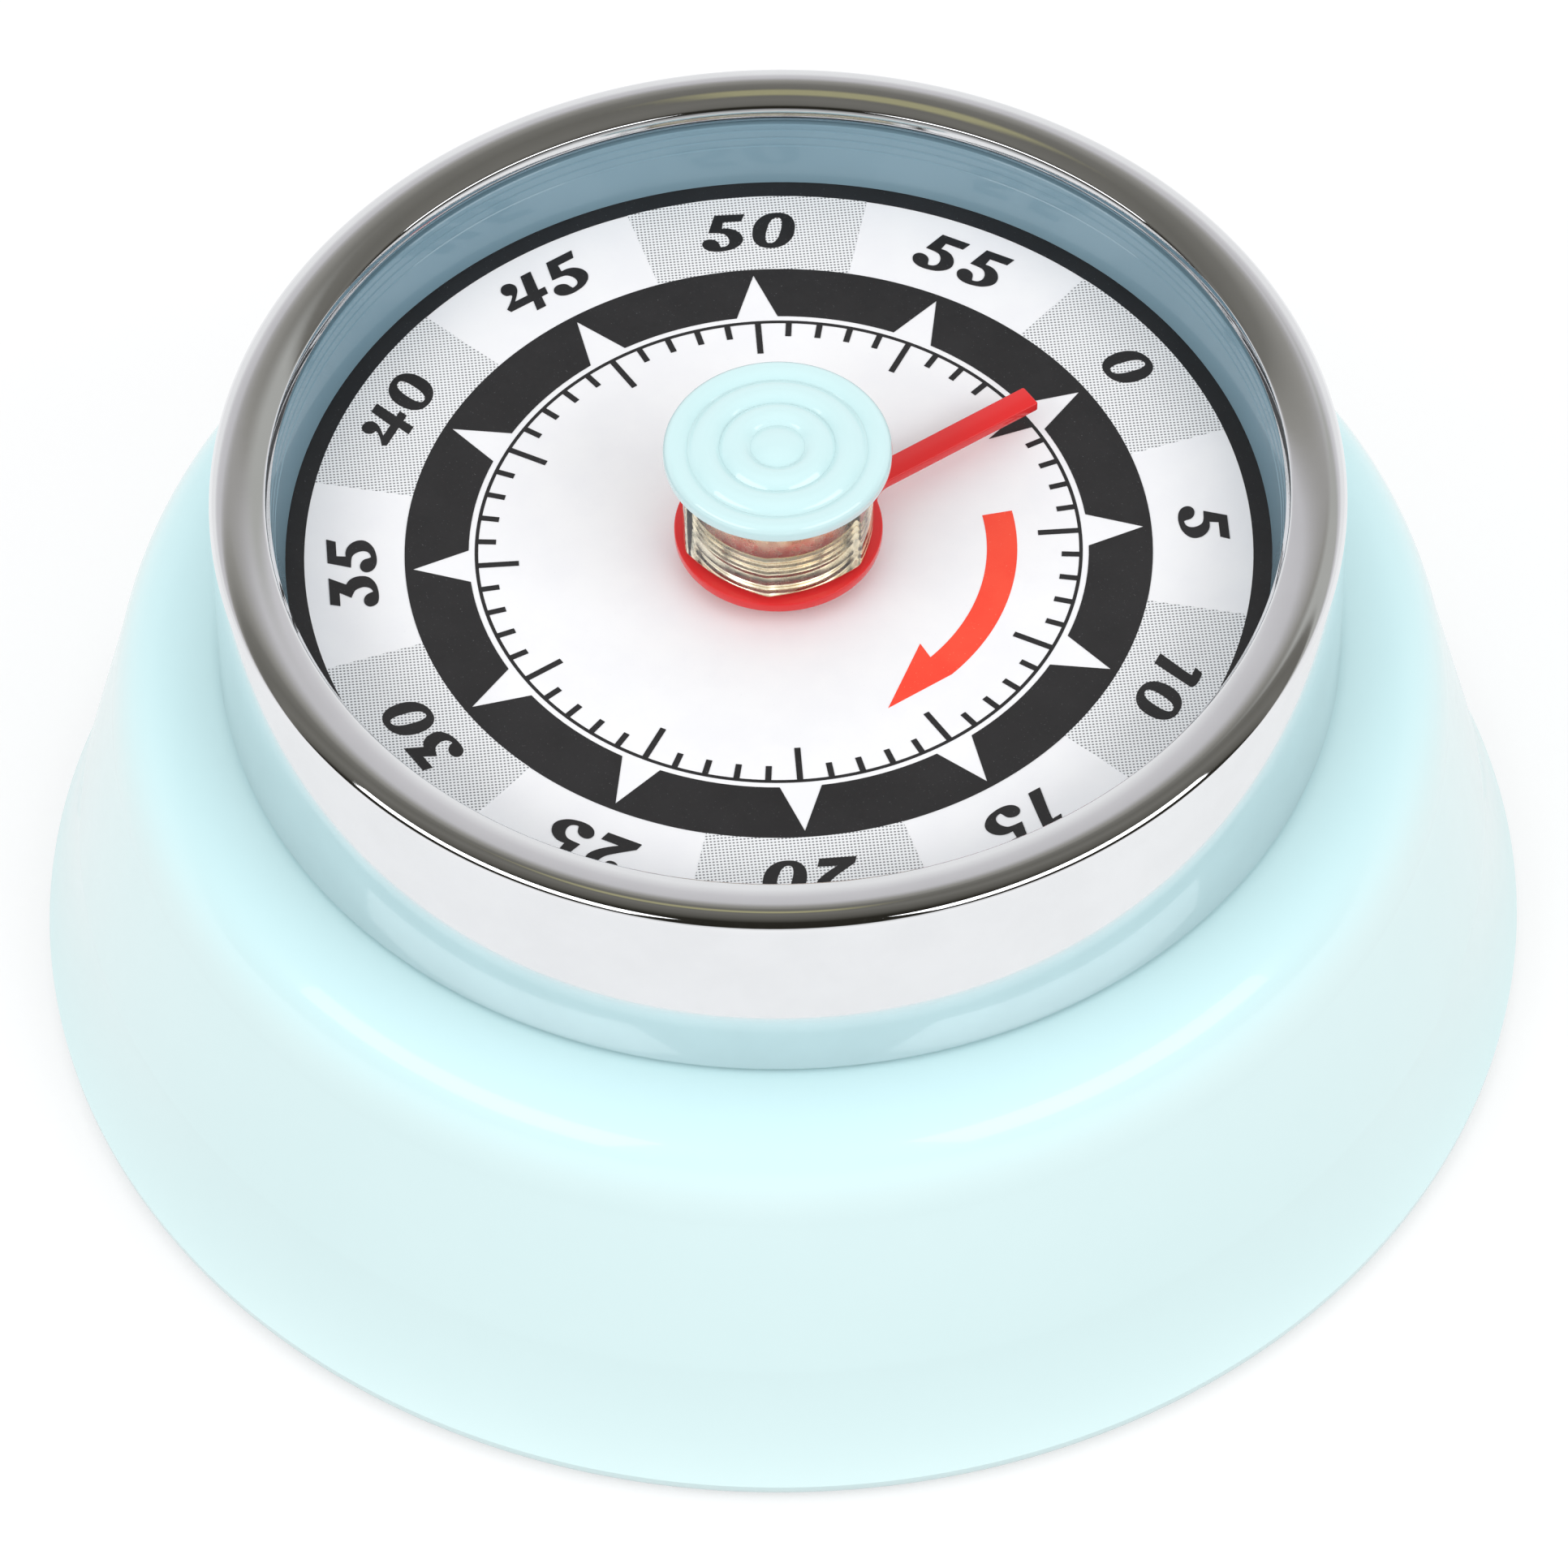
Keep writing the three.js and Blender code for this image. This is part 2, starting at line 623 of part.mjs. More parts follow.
function pointer() {
  const half = pointerWidth / 2;
  const centreY = Math.sqrt((pointerDisc + pointerFlare) ** 2 - (half + pointerFlare) ** 2);
  const meet = Math.atan2(centreY, half + pointerFlare);
  const shape = new THREE.Shape();
  shape.moveTo(half, pointerReach);
  shape.lineTo(-half, pointerReach);
  shape.lineTo(-half, centreY);
  shape.absarc(-half - pointerFlare, centreY, pointerFlare, 0, meet - Math.PI / 2 - 0.9, true);
  shape.absarc(0, 0, pointerDisc, Math.PI - meet, 2 * Math.PI + meet);
  shape.absarc(half + pointerFlare, centreY, pointerFlare, Math.PI + meet, Math.PI, true);
  shape.lineTo(half, pointerReach);
  circleHole(shape, mainArborRadius + runGap);
  return cut(shape, pointerTop - pointerThickness, pointerTop, smallSegments);
}

// A clear six-sided sleeve with rounded corners, between the pointer and the cap.
function knobGrip() {
  const shape = new THREE.Shape(Array.from({ length: 2 * smallSegments * 2 }, (_, i) => {
    const angle = i * Math.PI / (2 * smallSegments);
    const fromFlat = THREE.MathUtils.euclideanModulo(angle, Math.PI / 3) - Math.PI / 6;
    const radius = Math.min(gripRadius, gripFlat / Math.cos(fromFlat));
    return point(radius, angle + radians(gripTurn));
  }));
  circleHole(shape, gripRadius - gripWall);
  return cut(shape, pointerTop + seatGap, capUnder - seatGap);
}

function knobHub() {
  const inner = mainArborRadius + runGap;
  const outer = gripRadius - gripWall - seatGap;
  return tube(inner, outer, pointerTop + seatGap, capUnder - seatGap, smallSegments);
}

// Three low steps up to the middle, and a blind socket for the arbor.
function knobCap() {
  const socket = mainArborRadius + runGap;
  const arborEnd = mainArborTop + seatGap;
  const step = capRise / 3;
  return turned([[socket, capUnder], [capRadius - 0.15, capUnder], [capRadius, capUnder + 0.2],
    [capRadius, capEdge - 0.1], [capRadius - 0.4, capEdge + 0.15], [3.9, capEdge + step],
    [2.6, capEdge + 2 * step], [1.3, capTop], [0, capTop], [0, arborEnd], [socket, arborEnd]],
  innerSegments);
}

// ---------------------------------------------------------------- assembly

const timer = new THREE.Group();
timer.name = 'kitchen_timer';

function add(name, geometry, material, at = centreHole, parent = timer) {
  const mesh = new THREE.Mesh(geometry, material);
  mesh.name = name;
  mesh.position.set(at.x, at.y, 0);
  parent.add(mesh);
}

function addEach(name, make, material, places) {
  places.forEach((at, i) => add(`${name}_${i + 1}`, make(), material, at));
}

add('body_shell', bodyShell(), cyanPaint);
add('bezel_ring', bezelRing(), chrome);
add('dial_collar', dialCollar(), cyanPaint);
add('dial_plate', dialPlate(), dialPrint);
add('base_cover', baseCover(), zinc);
add('foot_ring', footRing(), rubber);
addEach('magnet', magnet, darkSteel, [-magnetOffset, magnetOffset].map((x) =>
  new THREE.Vector2(x, 0)));
addEach('cover_screw', coverScrew, steel, pillarsAt);
addEach('standoff', standoff, zinc, pillarsAt);
add('bottom_plate', bottomPlate(), brass);
add('top_plate', topPlate(), brass);
addEach('pillar', pillar, steel, pillarsAt);
add('spring_barrel', springBarrel(), brass);
add('arbor_bush', arborBush(), brass);
add('stop_post', stopPost(), steel, postAt);
add('bell', bell(), steel);
add('bell_post', bellPost(), steel);
add('bell_nut', bellNut(), steel);

add('knob_cap', knobCap(), cyanPaint);
add('knob_grip', knobGrip(), clearPlastic);
add('knob_hub', knobHub(), brass);
add('pointer', pointer(), redPaint);
add('main_arbor', mainArbor(), steel);
add('mainspring', mainspring(), darkSteel);
add('main_wheel', mainWheel(), brass);
add('stop_pin', stopPinRod(), steel, pinAt);
add('strike_cam', strikeCam(), brass);

add('second_wheel', secondWheel(), brass, secondAt);
add('second_arbor', secondArbor(), steel, secondAt);
add('third_wheel', thirdWheel(), brass, thirdAt);
add('third_arbor', thirdArbor(), steel, thirdAt);
add('escape_wheel', escapeWheel(), brass, escapeAt);
add('escape_arbor', escapeArbor(), steel, escapeAt);
add('anchor', anchor(), steel, anchorAt);
add('anchor_arbor', arbor(), steel, anchorAt);
add('balance_wheel', balanceWheel(), brass, anchorAt);
add('hammer', hammerArm(), steel, hammerAt);
add('hammer_arbor', hammerArbor(), steel, hammerAt);
add('strike_lever', strikeLever(), steel, hammerAt);
add('hammer_spring', hammerSpring(), darkSteel, hammerAt);

export default timer;
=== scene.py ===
import math

import bmesh
import bpy
from mathutils import Matrix, Vector


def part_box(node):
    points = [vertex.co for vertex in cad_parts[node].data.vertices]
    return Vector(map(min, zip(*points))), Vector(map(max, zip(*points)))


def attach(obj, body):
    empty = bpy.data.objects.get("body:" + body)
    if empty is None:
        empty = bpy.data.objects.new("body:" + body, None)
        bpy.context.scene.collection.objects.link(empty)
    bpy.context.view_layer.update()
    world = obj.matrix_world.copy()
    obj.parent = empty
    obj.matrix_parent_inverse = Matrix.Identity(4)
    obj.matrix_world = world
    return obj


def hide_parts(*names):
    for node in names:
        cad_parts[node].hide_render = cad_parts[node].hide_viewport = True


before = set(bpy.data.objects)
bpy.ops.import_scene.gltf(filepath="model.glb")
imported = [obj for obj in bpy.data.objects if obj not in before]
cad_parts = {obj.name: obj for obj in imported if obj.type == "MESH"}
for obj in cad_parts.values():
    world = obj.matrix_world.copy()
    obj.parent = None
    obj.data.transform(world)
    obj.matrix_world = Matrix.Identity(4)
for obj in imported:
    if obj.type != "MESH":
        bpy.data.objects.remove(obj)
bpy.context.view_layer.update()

MM = 0.001
TURN = 2 * math.pi

# ------------------------------------------------------------------ places, from the CAD parts


def low(node):
    """Lowest height of a CAD node, in millimetres."""
    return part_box(node)[0].z / MM


def high(node):
    """Greatest height of a CAD node, in millimetres."""
    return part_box(node)[1].z / MM


def reach(node):
    """Outer radius of a CAD node turned about the middle of the timer."""
    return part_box(node)[1].x / MM


def middle(node):
    """Centre of a CAD node seen from above."""
    lowest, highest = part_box(node)
    return (lowest.x + highest.x) / 2 / MM, (lowest.y + highest.y) / 2 / MM


# ------------------------------------------------------------------ outlines


def bezier(steps, a, b, c, d):
    """Points along a cubic curve from a to d, with both ends."""
    points = []
    for i in range(steps + 1):
        t = i / steps
        s = 1 - t
        weights = (s ** 3, 3 * s * s * t, 3 * s * t * t, t ** 3)
        points.append(tuple(sum(w * p[k] for w, p in zip(weights, (a, b, c, d)))
                            for k in (0, 1)))
    return points


def rounded(corners, steps=6):
    """A closed outline from (x, y, fillet) corners; a corner with fillet 0 stays sharp."""
    outline = []
    for i, (x, y, fillet) in enumerate(corners):
        here = Vector((x, y))
        if not fillet:
            outline.append((x, y))
            continue
        before = Vector(corners[i - 1][:2]) - here
        after = Vector(corners[(i + 1) % len(corners)][:2]) - here
        half = before.angle(after) / 2
        back = min(fillet / math.tan(half), 0.48 * before.length, 0.48 * after.length)
        start, end = here + before.normalized() * back, here + after.normalized() * back
        for k in range(steps + 1):
            t = k / steps
            at = start * (1 - t) ** 2 + here * 2 * t * (1 - t) + end * t * t
            outline.append((at.x, at.y))
    return outline


def sharp(points):
    """Points as corners without fillets."""
    return [(x, y, 0) for x, y in points]


def spline(points, steps=6):
    """A smooth closed loop through the points; a point marked with a third value is a corner."""
    loop = []
    count = len(points)
    for i in range(count):
        p0, p1, p2, p3 = (points[(i + k) % count] for k in (-1, 0, 1, 2))
        if len(p1) > 2:
            p0 = p1
        if len(p2) > 2:
            p3 = p2
        straight = len(p1) > 2 and len(p2) > 2
        for k in range(1 if straight else steps):
            t = k / steps
            loop.append(tuple(
                0.5 * (2 * p1[a] + (p2[a] - p0[a]) * t
                       + (2 * p0[a] - 5 * p1[a] + 4 * p2[a] - p3[a]) * t * t
                       + (3 * p1[a] - p0[a] - 3 * p2[a] + p3[a]) * t ** 3)
                for a in (0, 1)))
    return loop


# ------------------------------------------------------------------ meshes


def piece(name, mesh, material, body, stands_for=(), crease=32):
    """Finishes a mesh in millimetres as a piece of the timer."""
    mesh.transform(Matrix.Scale(MM, 4))
    work = bmesh.new()
    work.from_mesh(mesh)
    bmesh.ops.remove_doubles(work, verts=work.verts, dist=1e-7)
    bmesh.ops.dissolve_degenerate(work, edges=work.edges, dist=1e-8)
    bmesh.ops.recalc_face_normals(work, faces=work.faces)
    work.to_mesh(mesh)
    work.free()
    mesh.name = name
    mesh.shade_smooth()
    mesh.set_sharp_from_angle(angle=math.radians(crease))
    mesh.materials.clear()
    mesh.materials.append(material)
    obj = bpy.data.objects.new(name, mesh)
    bpy.context.scene.collection.objects.link(obj)
    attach(obj, body)
    if stands_for:
        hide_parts(*stands_for)


def turned(outline, segments, at=(0, 0), wobble=None):
    """A closed outline of (radius, height) turned about an upright axis through at. wobble
    gives the radius to use for a radius of the outline at an angle."""
    mesh = bpy.data.meshes.new("turned")
    count = len(outline)
    points, faces = [], []
    for i in range(segments):
        angle = TURN * i / segments
        for radius, height in outline:
            r = wobble(radius, angle) if wobble else radius
            points.append((at[0] + r * math.cos(angle), at[1] + r * math.sin(angle), height))
    for i in range(segments):
        here, there = i * count, (i + 1) % segments * count
        for j in range(count):
            k = (j + 1) % count
            if outline[j][0] or outline[k][0]:
                faces.append((here + j, there + j, there + k, here + k))
    mesh.from_pydata(points, [], faces)
    return mesh


def flat(loops, bottom, top, bevel=0.0):
    """Loops of (x, y) filled, with their holes, into one closed slab between two heights."""
    curve = bpy.data.curves.new("flat", "CURVE")
    curve.dimensions = "2D"
    curve.fill_mode = "BOTH"
    for loop in loops:
        line = curve.splines.new("POLY")
        line.points.add(len(loop) - 1)
        for point, (x, y) in zip(line.points, loop):
            point.co = (x, y, 0, 1)
        line.use_cyclic_u = True
    curve.extrude = (top - bottom) / 2 - bevel
    curve.bevel_depth = bevel
    curve.bevel_resolution = 2
    curve.offset = -bevel
    obj = bpy.data.objects.new("flat", curve)
    bpy.context.scene.collection.objects.link(obj)
    bpy.context.view_layer.update()
    graph = bpy.context.evaluated_depsgraph_get()
    mesh = bpy.data.meshes.new_from_object(obj.evaluated_get(graph))
    bpy.data.objects.remove(obj)
    mesh.transform(Matrix.Translation((0, 0, (bottom + top) / 2)))
    return mesh


def cut_from(mesh, cutter):
    """The mesh with the cutter taken away."""
    obj = bpy.data.objects.new("cut", mesh)
    tool = bpy.data.objects.new("cutter", cutter)
    for used in (obj, tool):
        bpy.context.scene.collection.objects.link(used)
    modifier = obj.modifiers.new("cut", "BOOLEAN")
    modifier.operation = "DIFFERENCE"
    modifier.solver = "EXACT"
    modifier.object = tool
    bpy.context.view_layer.update()
    graph = bpy.context.evaluated_depsgraph_get()
    result = bpy.data.meshes.new_from_object(obj.evaluated_get(graph))
    for used in (obj, tool):
        bpy.data.objects.remove(used)
    return result


# ------------------------------------------------------------------ materials


class Nodes:
    """A material's node tree, with short calls to add and link nodes."""

    def __init__(self, tree):
        self.tree = tree

    def add(self, kind, inputs=(), **settings):
        node = self.tree.nodes.new(kind)
        for key, value in settings.items():
            setattr(node, key, value)
        for key, value in dict(inputs).items():
            if isinstance(value, bpy.types.NodeSocket):
                self.tree.links.new(value, node.inputs[key])
            else:
                node.inputs[key].default_value = value
        return node

    def math(self, operation, a, b=0.0, clamp=False):
        node = self.add("ShaderNodeMath", {0: a, 1: b}, operation=operation, use_clamp=clamp)
        return node.outputs[0]

    def step(self, value, start, end, to_min=0.0, to_max=1.0):
        """Smooth change from to_min to to_max as value goes from start to end."""
        node = self.add("ShaderNodeMapRange",
                        {"Value": value, "From Min": start, "From Max": end,
                         "To Min": to_min, "To Max": to_max}, interpolation_type="SMOOTHSTEP")
        return node.outputs["Result"]

    def mix(self, factor, a, b):
        node = self.add("ShaderNodeMix", data_type="RGBA")
        for key, value in ((0, factor), (6, a), (7, b)):
            if isinstance(value, bpy.types.NodeSocket):
                self.tree.links.new(value, node.inputs[key])
            else:
                node.inputs[key].default_value = value
        return node.outputs[2]

    def noise(self, where, scale, detail=4.0, roughness=0.55):
        node = self.add("ShaderNodeTexNoise", {"Vector": where, "Scale": scale,
                                               "Detail": detail, "Roughness": roughness})
        return node.outputs["Fac"]


def linear(red, green, blue):
    """An sRGB colour, 0 to 255, as Blender's linear RGBA."""
    def channel(value):
        value /= 255
        return value / 12.92 if value <= 0.04045 else ((value + 0.055) / 1.055) ** 2.4
    return (channel(red), channel(green), channel(blue), 1.0)


def material(name):
    """A new material: its node helper, its shader, and object coordinates in metres."""
    made = bpy.data.materials.new(name)
    made.use_nodes = True
    nodes = Nodes(made.node_tree)
    shader = made.node_tree.nodes["Principled BSDF"]
    where = nodes.add("ShaderNodeTexCoord").outputs["Object"]
    return made, nodes, shader, where


GRAIN_ROUND = 1.5            # noise cells round a turned piece
GRAIN_ACROSS = 9000.0        # noise cells per metre across its turning marks


def round_about(nodes, where, centre):
    """Coordinates about an upright axis in which noise runs round it, as turning marks do."""
    moved = nodes.add("ShaderNodeVectorMath", {0: where, 1: (-centre[0] * MM, -centre[1] * MM, 0)},
                      operation="ADD").outputs[0]
    parts = nodes.add("ShaderNodeSeparateXYZ", {0: moved})
    x, y, z = parts.outputs
    plane = nodes.add("ShaderNodeCombineXYZ", {0: x, 1: y})
    radius = nodes.add("ShaderNodeVectorMath", {0: plane.outputs[0]},
                       operation="LENGTH").outputs["Value"]
    unit = nodes.add("ShaderNodeVectorMath", {0: plane.outputs[0]},
                     operation="NORMALIZE").outputs[0]
    turn = nodes.add("ShaderNodeVectorMath", {0: unit, 3: GRAIN_ROUND},
                     operation="SCALE").outputs[0]
    lift = nodes.math("ADD", nodes.math("MULTIPLY", radius, GRAIN_ACROSS),
                      nodes.math("MULTIPLY", z, GRAIN_ACROSS))
    along = nodes.add("ShaderNodeCombineXYZ", {2: lift}).outputs[0]
    return nodes.add("ShaderNodeVectorMath", {0: turn, 1: along}, operation="ADD").outputs[0]


def finish_of(nodes, shader, where, colours, mottle, roughness, wear, bump, relief):
    """Colour, roughness and bump from noise. colours and roughness are the two ends, mottle and
    wear their noise scales per metre; bump is its coordinates, noise scale and strength, and
    relief is how far it stands, in metres."""
    tone = nodes.step(nodes.noise(where, mottle), 0.3, 0.7)
    shader.inputs["Base Color"].default_value = colours[0]
    nodes.tree.links.new(nodes.mix(tone, *colours), shader.inputs["Base Color"])
    worn = nodes.step(nodes.noise(where, wear, 6.0, 0.65), 0.35, 0.7, *roughness)
    nodes.tree.links.new(worn, shader.inputs["Roughness"])
    height = nodes.noise(bump[0], bump[1], 3.0)
    node = nodes.add("ShaderNodeBump", {"Height": height, "Distance": relief,
                                        "Strength": bump[2]})
    nodes.tree.links.new(node.outputs["Normal"], shader.inputs["Normal"])


def paint(name, light, dark, coat, painted_bounce=None, heights=(0, 1)):
    """Gloss paint: a faint drift of colour, and orange peel under a clear coat. Between two
    heights in millimetres it turns to painted reflected light, a more saturated cyan for the light
    that the chrome bezel throws back on to the paint."""
    made, nodes, shader, where = material(name)
    finish_of(nodes, shader, where, (linear(*light), linear(*dark)), 45.0,
              (0.24, 0.27), 400.0, (where, 250.0, 0.3), 4e-7)
    if painted_bounce:
        # Painted reflected light: between the two heights the colour turns to the cyan that the
        # chrome bezel throws back.
        height = nodes.add("ShaderNodeSeparateXYZ", {0: where}).outputs[2]
        bounce_mask = nodes.step(height, heights[0] * MM, heights[1] * MM)
        colour = shader.inputs["Base Color"].links[0].from_socket
        nodes.tree.links.new(nodes.mix(bounce_mask, colour, linear(*painted_bounce)),
                             shader.inputs["Base Color"])
    shader.inputs["Coat Weight"].default_value = coat
    shader.inputs["Coat Roughness"].default_value = 0.03
    shader.inputs["Specular IOR Level"].default_value = 0.25
    return made


def metal(name, light, dark, roughness, centre=(0, 0), relief=2e-6):
    """Metal with marks that run round the piece's own axis, as turning and spinning leave."""
    made, nodes, shader, where = material(name)
    shader.inputs["Metallic"].default_value = 1.0
    about = round_about(nodes, where, centre)
    finish_of(nodes, shader, where, (linear(*light), linear(*dark)), 300.0, roughness,
              2500.0, (about, 1.0, 0.25), relief)
    return made


def dull(name, light, dark, roughness, scale, relief):
    """Rubber, ferrite and the like: a fine uneven surface."""
    made, nodes, shader, where = material(name)
    finish_of(nodes, shader, where, (linear(*light), linear(*dark)), scale, roughness,
              scale * 2, (where, scale * 3, 0.6), relief)
    shader.inputs["Specular IOR Level"].default_value = 0.4
    return made


def ink(name, light, dark, speck):
    """Screen print: an almost even colour with pinholes."""
    made, nodes, shader, where = material(name)
    finish_of(nodes, shader, where, (linear(*light), linear(*dark)), 400.0, (0.38, 0.5),
              3000.0, (where, 9000.0, 0.2), 1e-6)
    colour = shader.inputs["Base Color"].links[0].from_socket
    hole = nodes.step(nodes.noise(where, 14000.0, 1.0), 0.73, 0.78)
    nodes.tree.links.new(nodes.mix(hole, colour, linear(*speck)), shader.inputs["Base Color"])
    return made


def halftone(name):
    """The grey fields: a screen of fine dark dots on the white of the dial."""
    made, nodes, shader, where = material(name)
    pitch, slant = 0.17 * MM, math.radians(28)
    screen = nodes.add("ShaderNodeMapping", {"Vector": where, "Rotation": (0, 0, slant),
                                             "Scale": (TURN / pitch,) * 3})
    parts = nodes.add("ShaderNodeSeparateXYZ", {0: screen.outputs["Vector"]})
    waves = [nodes.math("SINE", parts.outputs[axis]) for axis in (0, 1)]
    drift = nodes.step(nodes.noise(where, 500.0), 0.3, 0.7, -0.05, 0.05)
    height = nodes.math("ADD", nodes.math("ADD", waves[0], nodes.math("MULTIPLY", waves[1], 0.7)),
                        drift)
    dot = nodes.step(height, 0.3, 0.95)
    colour = nodes.mix(dot, linear(240, 241, 243), linear(128, 129, 132))
    nodes.tree.links.new(colour, shader.inputs["Base Color"])
    sheen = nodes.step(dot, 0, 1, 0.42, 0.5)
    nodes.tree.links.new(sheen, shader.inputs["Roughness"])
    return made


def clear(name):
    """Clear acrylic with faint moulding flow and fine scuffs."""
    made, nodes, shader, where = material(name)
    flow = nodes.add("ShaderNodeMapping", {"Vector": where, "Scale": (600, 600, 90)})
    finish_of(nodes, shader, where, (linear(252, 253, 252), linear(246, 250, 250)), 300.0,
              (0.0, 0.05), 2500.0, (flow.outputs["Vector"], 1.0, 0.3), 1e-5)
    shader.inputs["Transmission Weight"].default_value = 1.0
    shader.inputs["IOR"].default_value = 1.49
    return made


CYAN_CAP = paint("cyan_cap_paint", (205, 234, 236), (201, 231, 233), 0.9)
COLLAR = paint("collar_gloss", (130, 159, 173), (121, 151, 166), 0.5)
CHROME = metal("chrome", (226, 227, 229), (223, 224, 226), (0.03, 0.07), relief=8e-7)
RED = paint("red_paint", (224, 46, 47), (218, 41, 43), 0.4)
WHITE_DIAL = ink("dial_white", (246, 246, 248), (243, 243, 246), (232, 232, 236))
BLACK_INK = ink("black_ink", (38, 37, 39), (33, 32, 34), (96, 96, 98))
ORANGE_INK = ink("orange_ink", (251, 76, 50), (249, 66, 42), (255, 160, 120))
DOTS = halftone("halftone_grey")
CLEAR = clear("clear_acrylic")
ZINC = metal("zinc", (190, 193, 196), (176, 180, 184), (0.3, 0.45))
RUBBER = dull("rubber", (38, 38, 40), (30, 30, 32), (0.7, 0.9), 1500.0, 1.5e-5)
FERRITE = dull("ferrite", (62, 62, 66), (50, 50, 54), (0.5, 0.75), 2200.0, 1e-5)

# ------------------------------------------------------------------ case

CASE, KNOB = "case", "knob"

FOOT, LIFT = reach("body_shell"), low("body_shell")
DIAL_TOP = high("dial_plate")
SHOULDER = low("bezel_ring") - 0.3
BEZEL, CROWN = reach("bezel_ring"), high("bezel_ring")
LIP = 23.3                             # inner radius of the bezel
LIP_TOP, LIP_UNDER = CROWN - 0.6, CROWN - 1.0
FLARE, FLANK = (33.2, 7.7), (31.3, 15.7)     # the straight side of the body, (radius, height)
WALL = 0.8                             # sheet of the body
NECK = reach("dial_collar") + 0.3
COLLAR_TOP = high("dial_collar")

# The body's cyan paint. From the upper flank up to the bezel it carries painted reflected light: a
# more saturated cyan for what the chrome bezel throws back on the shoulder.
CYAN = paint("cyan_paint", (217, 240, 241), (214, 238, 239), 0.5, (206, 240, 244),
             (FLANK[1] + 1.3, SHOULDER - 0.1))


def body_outline():
    """Foot, flank, shoulder and neck, then back inside along the sheet's other face."""
    wall = WALL
    flank = bezier(24, (FOOT, LIFT + 0.9), (FOOT - 0.9, LIFT + 2.4),
                   (FLARE[0] + 0.3, FLARE[1] - 2.2), FLARE)
    shoulder = bezier(40, FLANK, (FLANK[0] - 0.5, FLANK[1] + 3.4),
                      (BEZEL + 3.3, SHOULDER - 0.2), (BEZEL + 0.2, SHOULDER))
    foot = bezier(8, (FOOT - 2 * wall + 0.4, LIFT), (FOOT - 0.5, LIFT),
                  (FOOT, LIFT + 0.05), (FOOT, LIFT + 0.9))
    ledge_top, ledge = low("dial_plate") - 0.3, NECK - 2.7
    neck_top = COLLAR_TOP - 1
    inner_flank = bezier(16, (NECK, SHOULDER - wall), (BEZEL + 2.4, SHOULDER - wall - 0.3),
                         (FLANK[0] - wall - 0.5, FLANK[1] + 2.8), (FLANK[0] - wall, FLANK[1]))
    return (foot + flank[1:] + shoulder
            + rounded([(NECK + wall, SHOULDER, 0), (NECK + wall, neck_top, 0.15),
                       (NECK, neck_top, 0.15), (NECK, ledge_top, 0), (ledge, ledge_top, 0.1),
                       (ledge, ledge_top - wall, 0.1), (NECK, ledge_top - wall, 0)])
            + inner_flank + [(FLARE[0] - wall, FLARE[1]), (FOOT - 2 * wall, LIFT + 0.3)])


def bezel_outline():
    """A turned-over ring: its lip falls away inside in a narrow slope that faces up."""
    wall = 1.0
    bottom = low("bezel_ring")
    wall_top = CROWN - 0.7
    inner = BEZEL - wall
    roll = bezier(40, (BEZEL, wall_top), (BEZEL, CROWN - 0.22), (inner + 0.6, CROWN),
                  (inner, CROWN))
    slope = bezier(24, (inner, CROWN), (inner - 0.6, CROWN), (inner - 1.15, CROWN - 0.1),
                   (inner - 1.5, CROWN - 0.2))
    edge = bezier(8, slope[-1], (LIP + 0.22, CROWN - 0.23), (LIP + 0.2, CROWN - 0.26),
                  (LIP + 0.17, CROWN - 0.31))
    lip = bezier(8, (LIP, LIP_TOP), (LIP - 0.02, LIP_TOP - 0.04), (LIP, LIP_TOP - 0.1),
                 (LIP + 0.1, LIP_UNDER))
    return rounded([(inner, bottom, 0.1), (BEZEL, bottom, 0.12)]
                   + sharp(roll + slope[1:] + edge[1:] + lip)
                   + [(inner, LIP_UNDER, 0)])


def collar_outline():
    """A thin sleeve whose face leans in towards the dial, with three fine grooves near its top."""
    outer, bottom = NECK - 0.3, DIAL_TOP + 0.04
    inner, lean = outer - 0.35, 0.6

    def face(height, depth=0.0):
        """A point of the leaning face, set back by depth."""
        return inner - lean * (COLLAR_TOP - height) / (COLLAR_TOP - bottom) + depth, height

    outline = [(outer, bottom), (outer, COLLAR_TOP), (inner + 0.05, COLLAR_TOP),
               face(COLLAR_TOP - 0.05)]
    for below, depth in ((0.3, 0.05), (0.75, 0.05), (1.2, 0.04)):
        groove = COLLAR_TOP - below
        outline += [face(groove + 0.07), face(groove + 0.03, depth),
                    face(groove - 0.03, depth), face(groove - 0.07)]
    return outline + [face(bottom)]


piece("body_shell_fine", turned(body_outline(), 288), CYAN, CASE, ["body_shell"])
piece("bezel_ring_fine", turned(bezel_outline(), 288), CHROME, CASE, ["bezel_ring"])
piece("dial_collar_fine", turned(collar_outline(), 288), COLLAR, CASE,
      ["dial_collar"])

plate_low, plate_edge, plate_hole = low("dial_plate"), reach("dial_plate"), 3.1
piece("dial_plate_fine", turned(rounded([
    (plate_hole, plate_low, 0.05), (plate_edge, plate_low, 0.1), (plate_edge, DIAL_TOP, 0.1),
    (plate_hole, DIAL_TOP, 0.05)]), 192), WHITE_DIAL, CASE, ["dial_plate"])

# ------------------------------------------------------------------ print on the dial

INK = 0.02                             # thickness of a layer
BAND_OUT, BAND_IN = 21.88, 17.25       # radii of the band that carries the numbers
BLACK_IN = 14.3
LINE_OUT, LINE_IN = 14.02, 13.86       # radii of the fine ring
TICK_SHORT, TICK_LONG = 13.05, 12.0    # where the minute marks end
TICK = 0.28
TIP, BASE = 16.9, 0.96                 # a white point's tip, and half its foot
NUMBER_AT = 19.66
ZERO_HALF, ZERO_TIP = 0.54, 11.8       # the wedge at zero
ARROW_OUT, ARROW_IN = 11.0, 9.6        # radii of the arrow's shaft
ARROW_START, ARROW_END = 3.75, 13.0    # and its minutes
ARROW_TIP, ARROW_BARB = (16.1, 0, 10.85), (12.65, 0, 8.7)


